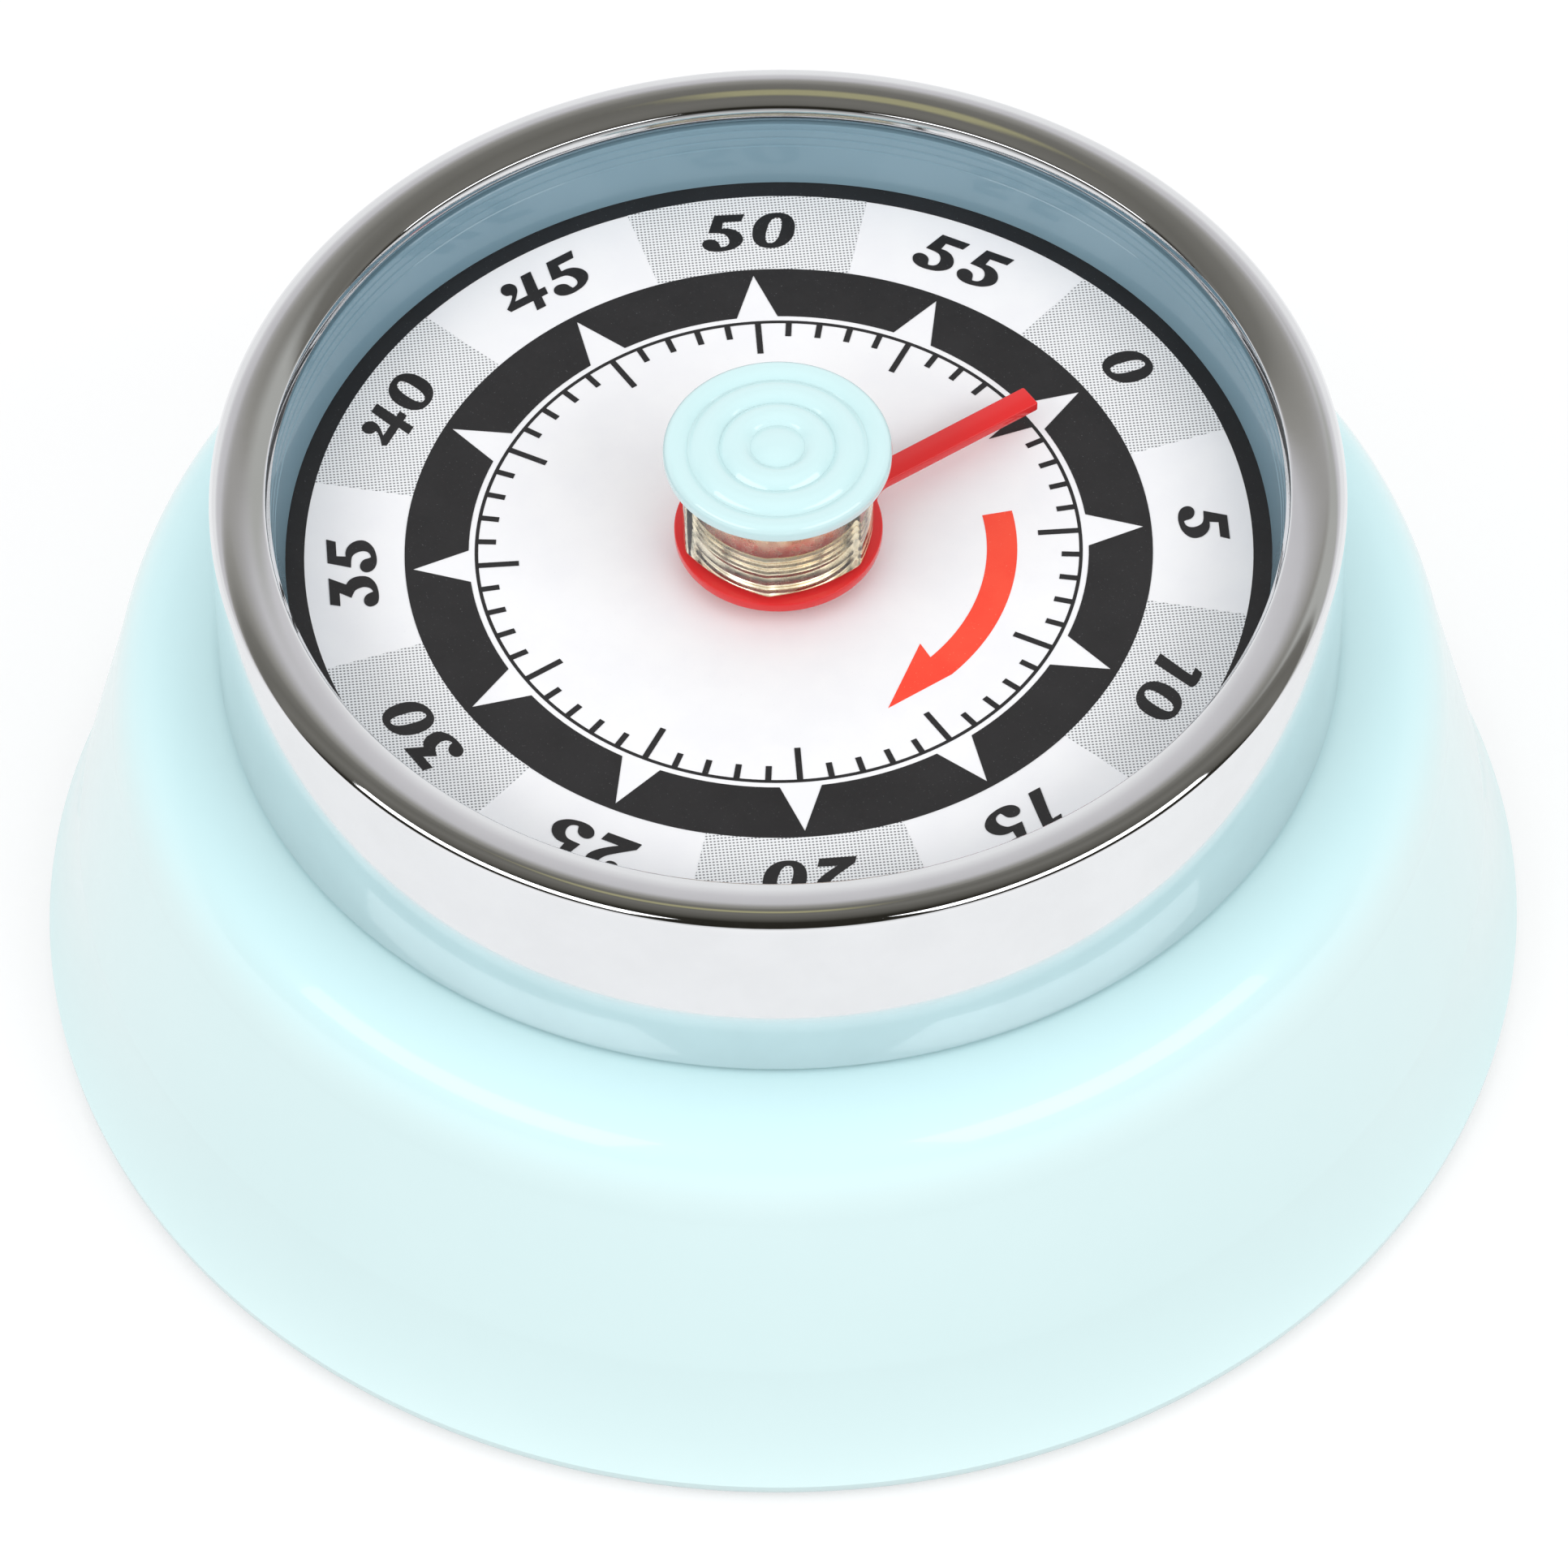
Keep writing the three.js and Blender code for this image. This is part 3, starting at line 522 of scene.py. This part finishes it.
def on_dial(minute, across, out):
    """A point out from the middle along a minute's direction, and across it clockwise."""
    angle = math.radians(90 - 6 * minute)
    return (out * math.cos(angle) + across * math.sin(angle),
            out * math.sin(angle) - across * math.cos(angle))


def arc(radius, start, end, steps):
    return [on_dial(start + (end - start) * i / steps, 0, radius) for i in range(steps + 1)]


def ring(inner, outer, steps=240):
    return [arc(outer, 0, 60 - 60 / steps, steps - 1), arc(inner, 0, 60 - 60 / steps, steps - 1)]


def field(inner, outer, start, end, steps=20):
    return arc(outer, start, end, steps) + arc(inner, end, start, steps)


def bar(minute, inner, outer, width):
    half = width / 2
    return [on_dial(minute, -half, inner), on_dial(minute, half, inner),
            on_dial(minute, half, outer), on_dial(minute, -half, outer)]


def star_loop():
    """Inside edge of the black ring: a white point reaches into it every five minutes."""
    loop = []
    half = math.degrees(BASE / BLACK_IN) / 6
    for five in range(0, 60, 5):
        loop += [on_dial(five, 0, TIP)]
        loop += arc(BLACK_IN, five + half, five + 5 - half, 10)
    return loop


# Outlines of the digits, in millimetres: points of a spline, where a third value marks a
# corner. The 0 is two ovals: half width, half height, power, lean and direction.
SHAPES = {
    "0": [(1.0, 1.1, 2.25, 0.15, 1), (0.34, 0.8, 2.5, 0.26, -1)],
    "1": [(-0.33, 1.08, 1), (-0.1, 1.14), (0.40, 1.14), (0.60, 1.0), (0.585, 0.75),
          (0.055, -1.12, 1), (-0.585, -1.12, 1), (-0.05, 0.55), (-0.16, 0.70), (-0.5, 0.68, 1)],
    "2": [(-1.0, -1.12, 1), (0.68, -1.1, 1), (0.80, -0.64, 1), (-0.12, -0.64, 1), (0.36, -0.3),
          (0.74, 0.05), (0.95, 0.38), (0.98, 0.68), (0.86, 0.95), (0.58, 1.1), (0.22, 1.14),
          (-0.18, 1.06), (-0.48, 0.88), (-0.6, 0.64), (-0.53, 0.42), (-0.34, 0.32), (-0.1, 0.35),
          (0.03, 0.5), (0.05, 0.7), (0.12, 0.84), (0.27, 0.86), (0.38, 0.72), (0.37, 0.48),
          (0.2, 0.15), (-0.22, -0.22), (-0.92, -0.76, 1)],
    "3": [(-0.68, 1.12, 1), (0.9, 1.13, 1), (0.46, 0.34, 1), (0.69, 0.2), (0.86, -0.04),
          (0.92, -0.33), (0.87, -0.64), (0.68, -0.87), (0.37, -1.04), (-0.02, -1.12),
          (-0.41, -1.13), (-0.72, -1.06), (-0.89, -0.87), (-0.92, -0.68), (-0.82, -0.52),
          (-0.64, -0.44), (-0.41, -0.46), (-0.23, -0.57), (-0.12, -0.74), (-0.07, -0.88, 1),
          (0.07, -0.84), (0.21, -0.71), (0.275, -0.48), (0.21, -0.24), (0.06, -0.04),
          (-0.33, 0.13, 1), (0.0, 0.66, 1), (-0.79, 0.66, 1)],
    "4": [(-0.42, 1.08), (-0.66, 0.97), (-0.77, 0.72), (-0.68, 0.47), (-0.45, 0.35),
          (-0.62, 0.12), (-0.85, -0.08), (-1.12, -0.28, 1), (-1.04, -0.5, 1), (0.2, -0.5, 1),
          (0.02, -1.1, 1), (0.52, -1.1, 1), (0.66, -0.5, 1), (1.02, -0.5, 1), (1.12, -0.08, 1),
          (0.76, -0.08, 1), (1.08, 1.1, 1), (0.52, 1.1, 1), (0.16, -0.08, 1), (-0.56, -0.08, 1),
          (-0.28, 0.2), (-0.06, 0.48), (0.0, 0.76), (-0.14, 1.0)],
    "5": [(-0.37, 1.13, 1), (1.05, 1.13, 1), (0.88, 0.7, 1), (-0.0, 0.7, 1), (-0.06, 0.28, 1),
          (0.24, 0.27), (0.54, 0.15), (0.78, -0.09), (0.88, -0.4), (0.82, -0.66), (0.62, -0.88),
          (0.31, -1.05), (-0.08, -1.13), (-0.4, -1.14), (-0.7, -1.08), (-0.94, -0.93),
          (-1.05, -0.72), (-1.03, -0.54), (-0.9, -0.4), (-0.7, -0.35), (-0.47, -0.41),
          (-0.31, -0.55), (-0.24, -0.76), (-0.19, -0.88, 1), (-0.07, -0.87), (0.09, -0.81),
          (0.2, -0.68), (0.235, -0.48), (0.17, -0.25), (0.0, -0.05), (-0.27, 0.03),
          (-0.72, 0.06, 1)],
}
WIDTHS = {"0": 2.2, "1": 1.3, "2": 2.0, "3": 1.9, "4": 2.2, "5": 2.08}
SHIFTS = {"1": -0.03}
GAP = 0.22


def oval(a, b, power, lean, way, steps=48):
    """A leaning superellipse; way -1 runs it backwards."""
    loop = []
    for i in range(steps):
        angle = way * TURN * i / steps
        c, s = math.cos(angle), math.sin(angle)
        x = a * math.copysign(abs(c) ** (2 / power), c)
        y = b * math.copysign(abs(s) ** (2 / power), s)
        loop.append((x + lean * y, y))
    return loop


def digit_loops(digit):
    """The loops of one digit about its own middle."""
    if digit == "0":
        return [oval(*shape) for shape in SHAPES["0"]]
    return [spline(SHAPES[digit])]


def number_loops(minute):
    """The loops of one number, set upright along its minute."""
    text = str(minute)
    total = sum(WIDTHS[c] for c in text) + GAP * (len(text) - 1)
    left, loops = -total / 2, []
    for c in text:
        for loop in digit_loops(c):
            loops.append([on_dial(minute, left + WIDTHS[c] / 2 + x + SHIFTS.get(c, 0),
                                  NUMBER_AT + y) for x, y in loop])
        left += WIDTHS[c] + GAP
    return loops


def printed(name, loops, material_used, layer=1):
    """A layer of ink on the dial's face."""
    piece(name, flat(loops, DIAL_TOP - 0.01, DIAL_TOP + layer * INK), material_used,
          CASE, crease=20)


printed("dial_edge_ring", ring(BAND_OUT, plate_edge - 0.1), BLACK_INK)
printed("dial_grey_fields", [field(BAND_IN, BAND_OUT, k - 2.5, k + 2.5)
                             for k in range(0, 60, 10)], DOTS)
printed("dial_star_ring", [ring(0.1, BAND_IN)[0], star_loop()], BLACK_INK, 1.5)
printed("dial_fine_ring", ring(LINE_IN, LINE_OUT), BLACK_INK)
printed("dial_minute_marks", [bar(k, TICK_SHORT if k % 5 else TICK_LONG, LINE_IN + 0.05, TICK)
                              for k in range(1, 60)], BLACK_INK, 1.5)
printed("dial_zero_mark", [[on_dial(0, -ZERO_HALF, LINE_IN + 0.05),
                            on_dial(0, ZERO_HALF, LINE_IN + 0.05),
                            on_dial(0, 0, ZERO_TIP)]], BLACK_INK, 1.5)
printed("dial_numbers", [loop for k in range(0, 60, 5) for loop in number_loops(k)],
        BLACK_INK, 2)
printed("dial_arrow", [arc(ARROW_OUT, ARROW_START, ARROW_END, 40)
                       + [on_dial(*ARROW_TIP), on_dial(*ARROW_BARB)]
                       + arc(ARROW_IN, ARROW_END - 0.05, ARROW_START, 40)], ORANGE_INK)

# ------------------------------------------------------------------ knob and pointer

CAP_TOP, CAP_UNDER, CAP = high("knob_cap"), low("knob_cap"), reach("knob_cap")
GROOVES = (-1.28, 1.28, 2.67, 4.1, 5.7)      # radii in the cap; the last lies past its rim
GROOVE_DEEP, DOME_FALL, DOME = 0.33, 0.16, 4.4
CAP_STEP, CAP_STEPS = 0.07, 71
SOCKET, HUB_BORE = 1.7, 1.75           # holes for the main arbor
GRIP_LOW, GRIP_HIGH = low("knob_grip"), high("knob_grip")
GRIP_CORNER, GRIP_SIDE = 4.65, 4.37    # radii at a corner and at the middle of a side
GRIP_TURN = math.radians(20)
HUB_LOW, HUB_HIGH, HUB = low("knob_hub"), high("knob_hub"), reach("knob_hub")
GRIP_BORE = HUB - 0.3                  # moulded on to the hub


def cap_height(radius):
    """Top of the cap: a dome, two beads and the rim, each bowed, with grooves between."""
    inner, outer = next(pair for pair in zip(GROOVES, GROOVES[1:]) if radius < pair[1])
    off = abs(2 * (radius - inner) / (outer - inner) - 1)
    return CAP_TOP - GROOVE_DEEP * off ** 2.2 - DOME_FALL * (radius / DOME) ** 2


def cap_outline():
    """From the middle of the top out to the rim, and back under to the middle."""
    top = [(CAP_STEP * i, cap_height(CAP_STEP * i)) for i in range(CAP_STEPS)]
    edge = bezier(16, top[-1], (CAP - 0.17, top[-1][1] - 0.03), (CAP, CAP_TOP - 0.38),
                  (CAP, CAP_TOP - 0.66))
    under = rounded(sharp(edge[-1:]) + [(CAP, CAP_UNDER, 0.15), (SOCKET, CAP_UNDER, 0),
                                        (SOCKET, CAP_UNDER + 0.1, 0), (0, CAP_UNDER + 0.1, 0)])
    return top + edge[1:-1] + under


def grip_radius(radius, angle):
    """Six bowed sides that meet in soft corners; the bore stays round."""
    if radius <= GRIP_BORE:
        return radius
    half = math.pi / 6
    off = (angle - GRIP_TURN) % (2 * half) - half
    flat_side = GRIP_CORNER * math.cos(half)
    bow = (GRIP_SIDE - flat_side) * (1 - (off / half) ** 2)
    return min(flat_side / math.cos(off) + bow, GRIP_CORNER - 0.03) * radius / GRIP_CORNER


def hub_outline():
    """Threaded insert, moulded into the grip: plain above, ridges below."""
    ridges = []
    inner, pitch = HUB - 0.12, 0.42
    height = HUB_LOW + 0.2
    while height < HUB_LOW + 1.1:
        ridges += [(inner, height), (HUB, height + 0.12), (HUB, height + 0.2),
                   (inner, height + 0.32)]
        height += pitch
    return ([(HUB_BORE, HUB_HIGH), (HUB_BORE, HUB_LOW), (HUB - 0.25, HUB_LOW)] + ridges
            + [(HUB, height + 0.1), (HUB, HUB_HIGH - 0.1), (HUB - 0.1, HUB_HIGH)])


def pointer_outline():
    """A disc with one arm towards minute zero, joined to it by a hollow flare on each side."""
    half, flare, disc, tip = 0.6, 1.2, 4.8, 14.15
    centre = math.sqrt((disc + flare) ** 2 - (half + flare) ** 2)
    meet = math.atan2(centre, half + flare)
    loop = rounded([(half, centre, 0), (half, tip, 0.12), (-half, tip, 0.12),
                    (-half, centre, 0)], 4)
    steps, disc_steps = 14, 150

    def bend(side):
        """The flare on one side, from the arm to the disc."""
        arm = []
        for i in range(1, steps + 1):
            angle = meet * i / steps
            arm.append((side * (half + flare - flare * math.cos(angle)),
                        centre - flare * math.sin(angle)))
        return arm

    start, end = math.pi - meet, TURN + meet
    angles = [start + (end - start) * i / disc_steps for i in range(1, disc_steps)]
    disc_arc = [(disc * math.cos(angle), disc * math.sin(angle)) for angle in angles]
    return loop + bend(-1) + disc_arc + bend(1)[::-1]


BRASS_HUB = metal("knob_brass", (255, 244, 222), (250, 232, 194), (0.2, 0.34))
piece("knob_cap_fine", turned(cap_outline(), 192), CYAN_CAP, KNOB, ["knob_cap"])
piece("knob_grip_fine", turned(rounded([
    (GRIP_BORE, GRIP_LOW, 0), (GRIP_CORNER, GRIP_LOW, 0.12), (GRIP_CORNER, GRIP_HIGH, 0.12),
    (GRIP_BORE, GRIP_HIGH, 0)]), 240, wobble=grip_radius), CLEAR, KNOB,
    ["knob_grip"], crease=14)
piece("knob_hub_fine", turned(hub_outline(), 96), BRASS_HUB, KNOB, ["knob_hub"])
pointer_hole = [(SOCKET * math.cos(TURN * i / 48), SOCKET * math.sin(TURN * i / 48))
                for i in range(48)]
piece("pointer_fine", flat([pointer_outline(), pointer_hole], low("pointer"), high("pointer"),
                           0.07), RED, KNOB, ["pointer"], crease=40)

# ------------------------------------------------------------------ underside

COVER, COVER_LOW, COVER_HIGH = reach("base_cover"), low("base_cover"), high("base_cover")
pressed = COVER_LOW + 0.12
piece("base_cover_fine", turned(rounded(
    sharp([(0, COVER_LOW)]
          + bezier(6, (17.2, COVER_LOW), (17.5, COVER_LOW), (17.5, pressed), (17.8, pressed))
          + bezier(6, (23.5, pressed), (23.8, pressed), (23.8, COVER_LOW), (24.1, COVER_LOW)))
    + [(COVER, COVER_LOW, 0.25), (COVER, COVER_HIGH, 0.1), (0, COVER_HIGH, 0)]), 192),
    ZINC, CASE, ["base_cover"])

ring_low, ring_high = low("foot_ring"), high("foot_ring")
ring_outer, ring_inner = reach("foot_ring"), 24.4
piece("foot_ring_fine", turned(rounded([
    (ring_inner, ring_low, 0.3), (ring_outer, ring_low, 0.3), (ring_outer, ring_high, 0.1),
    (ring_inner, ring_high, 0.1)]), 192), RUBBER, CASE, ["foot_ring"])

MAGNET = 6
for number in (1, 2):
    name = f"magnet_{number}"
    piece(f"{name}_fine", turned(rounded([
        (0, low(name), 0), (MAGNET, low(name), 0.2), (MAGNET, high(name), 0.1),
        (0, high(name), 0)]), 96, middle(name)), FERRITE, CASE, [name])


def cross_slot(x, y, top, depth):
    """A cutter for a cross recess."""
    half, arm = 0.22, 1.15
    points = [(half, half), (half, arm), (-half, arm), (-half, half), (-arm, half),
              (-arm, -half), (-half, -half), (-half, -arm), (half, -arm), (half, -half),
              (arm, -half), (arm, half)]
    return flat([[(x + a, y + b) for a, b in points]], top - depth, top)


for number in (1, 2, 3):
    name = f"cover_screw_{number}"
    x, y = middle(name)
    bottom, top = low(name), high(name)
    head, wide, thread, pitch = bottom + 0.8, 2.2, 0.8, 0.3
    outline = ([(0, bottom)] + bezier(10, (1.2, bottom), (1.9, bottom), (wide, bottom + 0.2),
                                      (wide, bottom + 0.5))
               + [(wide, head), (thread, head)])
    height = head + 0.2
    while height < top - 0.5:
        outline += [(thread - 0.12, height), (thread, height + 0.15)]
        height += pitch
    outline += [(0.72, top), (0, top)]
    steel_here = metal(f"screw_steel_{number}", (205, 206, 208), (188, 190, 194), (0.2, 0.35),
                       (x, y))
    screw = turned(outline, 64, (x, y))
    screw = cut_from(screw, cross_slot(x, y, bottom + 0.5, 0.6))
    piece(f"{name}_fine", screw, steel_here, CASE, [name])

# ------------------------------------------------------------------ movement: CAD nodes kept

FINISHES = {
    "zinc": dict(light=(196, 199, 202), dark=(178, 182, 186), roughness=(0.3, 0.48)),
    "brass": dict(light=(222, 184, 104), dark=(200, 158, 82), roughness=(0.18, 0.34)),
    "steel": dict(light=(200, 202, 205), dark=(182, 185, 189), roughness=(0.2, 0.36)),
    "bell_steel": dict(light=(214, 216, 219), dark=(196, 199, 203), roughness=(0.1, 0.24)),
    "spring_steel": dict(light=(104, 112, 128), dark=(84, 90, 104), roughness=(0.24, 0.4)),
}
SLOT_OF = {"bell": "bell_steel", "mainspring": "spring_steel", "hammer_spring": "spring_steel"}
BRASS_NODES = ("bottom_plate", "top_plate", "spring_barrel", "arbor_bush", "main_wheel",
               "second_wheel", "third_wheel", "escape_wheel", "balance_wheel", "bell_nut",
               "strike_cam")

for name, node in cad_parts.items():
    if node.hide_render:  # a piece above replaces it
        continue
    slot = SLOT_OF.get(name, "brass" if name in BRASS_NODES
                       else "zinc" if name.startswith("standoff") else "steel")
    node.data.materials.clear()
    node.data.materials.append(metal(f"{name}_{slot}", centre=middle(name), **FINISHES[slot]))
    soften = node.modifiers.new("edges", "BEVEL")
    soften.width = 0.05 * MM
    soften.segments = 2
    soften.limit_method = "ANGLE"
    soften.angle_limit = math.radians(40)
    soften.harden_normals = True

# ------------------------------------------------------------------ floor, camera and light

TOWARDS_CAMERA = Vector((0.8338, -0.5521, 0))
SIDEWAYS = Vector((0.5521, 0.8338, 0))
FLOOR_GLOW = 0.5     # added where the floor is seen, so that it comes out white
AMBIENT = 0.84       # light on the object from the world
LAMP_TURN, LAMP_RISE, LAMP_AWAY = 53, 38, 0.7     # degrees, degrees, metres
LAMP_SIZE, LAMP_POWER = (0.62, 0.26), 1.55

floor_mesh = bpy.data.meshes.new("floor")
half, down = 3.0, -0.05 * MM  # just clear of the foot ring's face
corners = [(-half, -half, down), (half, -half, down), (half, half, down), (-half, half, down)]
floor_mesh.from_pydata(corners, [], [(0, 1, 2, 3)])
floor = bpy.data.objects.new("floor", floor_mesh)
bpy.context.scene.collection.objects.link(floor)
made, nodes, shader, where = material("floor_white")
finish_of(nodes, shader, where, (linear(190, 190, 190), linear(186, 186, 187)), 3.0,
          (0.85, 0.95), 30.0, (where, 60.0, 0.1), 1e-5)
shader.inputs["Specular IOR Level"].default_value = 0.0
path = nodes.add("ShaderNodeLightPath")
rays = [path.outputs[f"Is {kind} Ray"] for kind in ("Camera", "Glossy", "Transmission")]
seen = nodes.math("MAXIMUM", nodes.math("MAXIMUM", rays[0], rays[1]), rays[2])
lit = nodes.add("ShaderNodeEmission", {"Color": (1, 1, 1, 1),
                                       "Strength": nodes.math("MULTIPLY", seen, FLOOR_GLOW)})
both = nodes.add("ShaderNodeAddShader", {0: shader.outputs[0], 1: lit.outputs[0]})
out = made.node_tree.nodes["Material Output"]
nodes.tree.links.new(both.outputs[0], out.inputs["Surface"])
floor_mesh.materials.append(made)

world = bpy.data.worlds.new("studio")
bpy.context.scene.world = world
world.use_nodes = True
nodes = Nodes(world.node_tree)
world.node_tree.nodes.clear()
towards = nodes.add("ShaderNodeTexCoord").outputs["Generated"]


def along(axis):
    """How far a direction in the world points along an axis."""
    return nodes.add("ShaderNodeVectorMath", {0: towards, 1: tuple(axis)},
                     operation="DOT_PRODUCT").outputs["Value"]


rise = nodes.add("ShaderNodeSeparateXYZ", {0: towards}).outputs[2]
near, aside = along(TOWARDS_CAMERA), along(SIDEWAYS)
# Angle over the top of the set, in degrees: 0 at the far horizon, 90 overhead, 180 in front.
over = nodes.math("DEGREES", nodes.math("ARCTAN2", rise, nodes.math("MULTIPLY", near, -1)))
BRIGHT, OLIVE, SIDE = (1, 1, 1, 1), linear(172, 168, 132), linear(186, 186, 181)
arch = nodes.add("ShaderNodeValToRGB", {0: nodes.math("DIVIDE", over, 180, clamp=True)})
# (angle, grey) of what the chrome mirrors: white at both horizons, darkest high in front
stops = ((0, 255), (28, 252), (38, 222), (46, 212), (50, 160), (55, 126), (62, 114), (72, 122),
         (82, 110), (92, 100), (106, 74), (116, 46), (164, 42), (172, 255))
ramp = arch.color_ramp
for _ in stops[2:]:
    ramp.elements.new(0.5)
for element, (angle, _) in zip(ramp.elements, stops):
    element.position = angle / 180
for element, (_, grey) in zip(ramp.elements, stops):
    element.color = linear(grey, grey - 2 * (grey < 250), grey - 8 * (grey < 200))
above = arch.outputs["Color"]


def between(value, start, full, fade, end):
    """1 between full and fade, and 0 outside start and end."""
    return nodes.math("MULTIPLY", nodes.step(value, start, full), nodes.step(value, end, fade))


# A pale patch to one side and an olive one in the middle, as the far roll of the bezel shows.
above = nodes.mix(nodes.math("MULTIPLY", between(over, 40, 46, 54, 58),
                             nodes.step(aside, 0.08, 0.25)), above, SIDE)
above = nodes.mix(nodes.math("MULTIPLY", between(over, 59, 62, 65, 68),
                             between(aside, -0.13, -0.08, 0.01, 0.05)), above, OLIVE)
mirrored = nodes.mix(nodes.step(rise, -0.02, 0.02), BRIGHT, above)
path = nodes.add("ShaderNodeLightPath")
shown = nodes.mix(path.outputs["Is Glossy Ray"], (AMBIENT, AMBIENT, AMBIENT, 1), mirrored)
shown = nodes.mix(nodes.math("MAXIMUM", path.outputs["Is Camera Ray"],
                             path.outputs["Is Transmission Ray"]), shown, BRIGHT)
sky = nodes.add("ShaderNodeBackground", {"Color": shown, "Strength": 1.0})
out = nodes.add("ShaderNodeOutputWorld")
nodes.tree.links.new(sky.outputs[0], out.inputs["Surface"])


def softbox(name, turn):
    """A soft lamp aimed at the timer; turn is degrees round from the camera, to its right."""
    flat_way = (TOWARDS_CAMERA * math.cos(math.radians(turn))
                + SIDEWAYS * math.sin(math.radians(turn)))
    way = (flat_way * math.cos(math.radians(LAMP_RISE))
           + Vector((0, 0, math.sin(math.radians(LAMP_RISE)))))
    lamp = bpy.data.lights.new(name, "AREA")
    lamp.shape = "RECTANGLE"
    lamp.size, lamp.size_y = LAMP_SIZE
    lamp.energy = LAMP_POWER
    obj = bpy.data.objects.new(name, lamp)
    obj.location = way * LAMP_AWAY + Vector((0, 0, 0.02))
    obj.rotation_mode = "QUATERNION"
    obj.rotation_quaternion = way.to_track_quat("Z", "Y")
    bpy.context.scene.collection.objects.link(obj)


softbox("softbox_left", -LAMP_TURN)
softbox("softbox_right", LAMP_TURN)

# The camera's place and lens, solved from the rings printed on the dial.
camera_data = bpy.data.cameras.new("camera")
camera_data.lens = 14816.1 / 1932 * 36
camera_data.sensor_width = 36
camera_data.clip_start, camera_data.clip_end = 0.01, 20
camera = bpy.data.objects.new("camera", camera_data)
EYE = Vector((0.300655, -0.198969, 0.447922))
camera.matrix_world = (Matrix.Translation(EYE) @ Matrix.Rotation(math.radians(56.4862), 4, "Z")
                       @ Matrix.Rotation(math.radians(39.4235), 4, "X")
                       @ Matrix.Rotation(math.radians(-0.7012), 4, "Z"))
bpy.context.scene.collection.objects.link(camera)
bpy.context.scene.camera = camera
bpy.context.scene.view_settings.view_transform = "Standard"
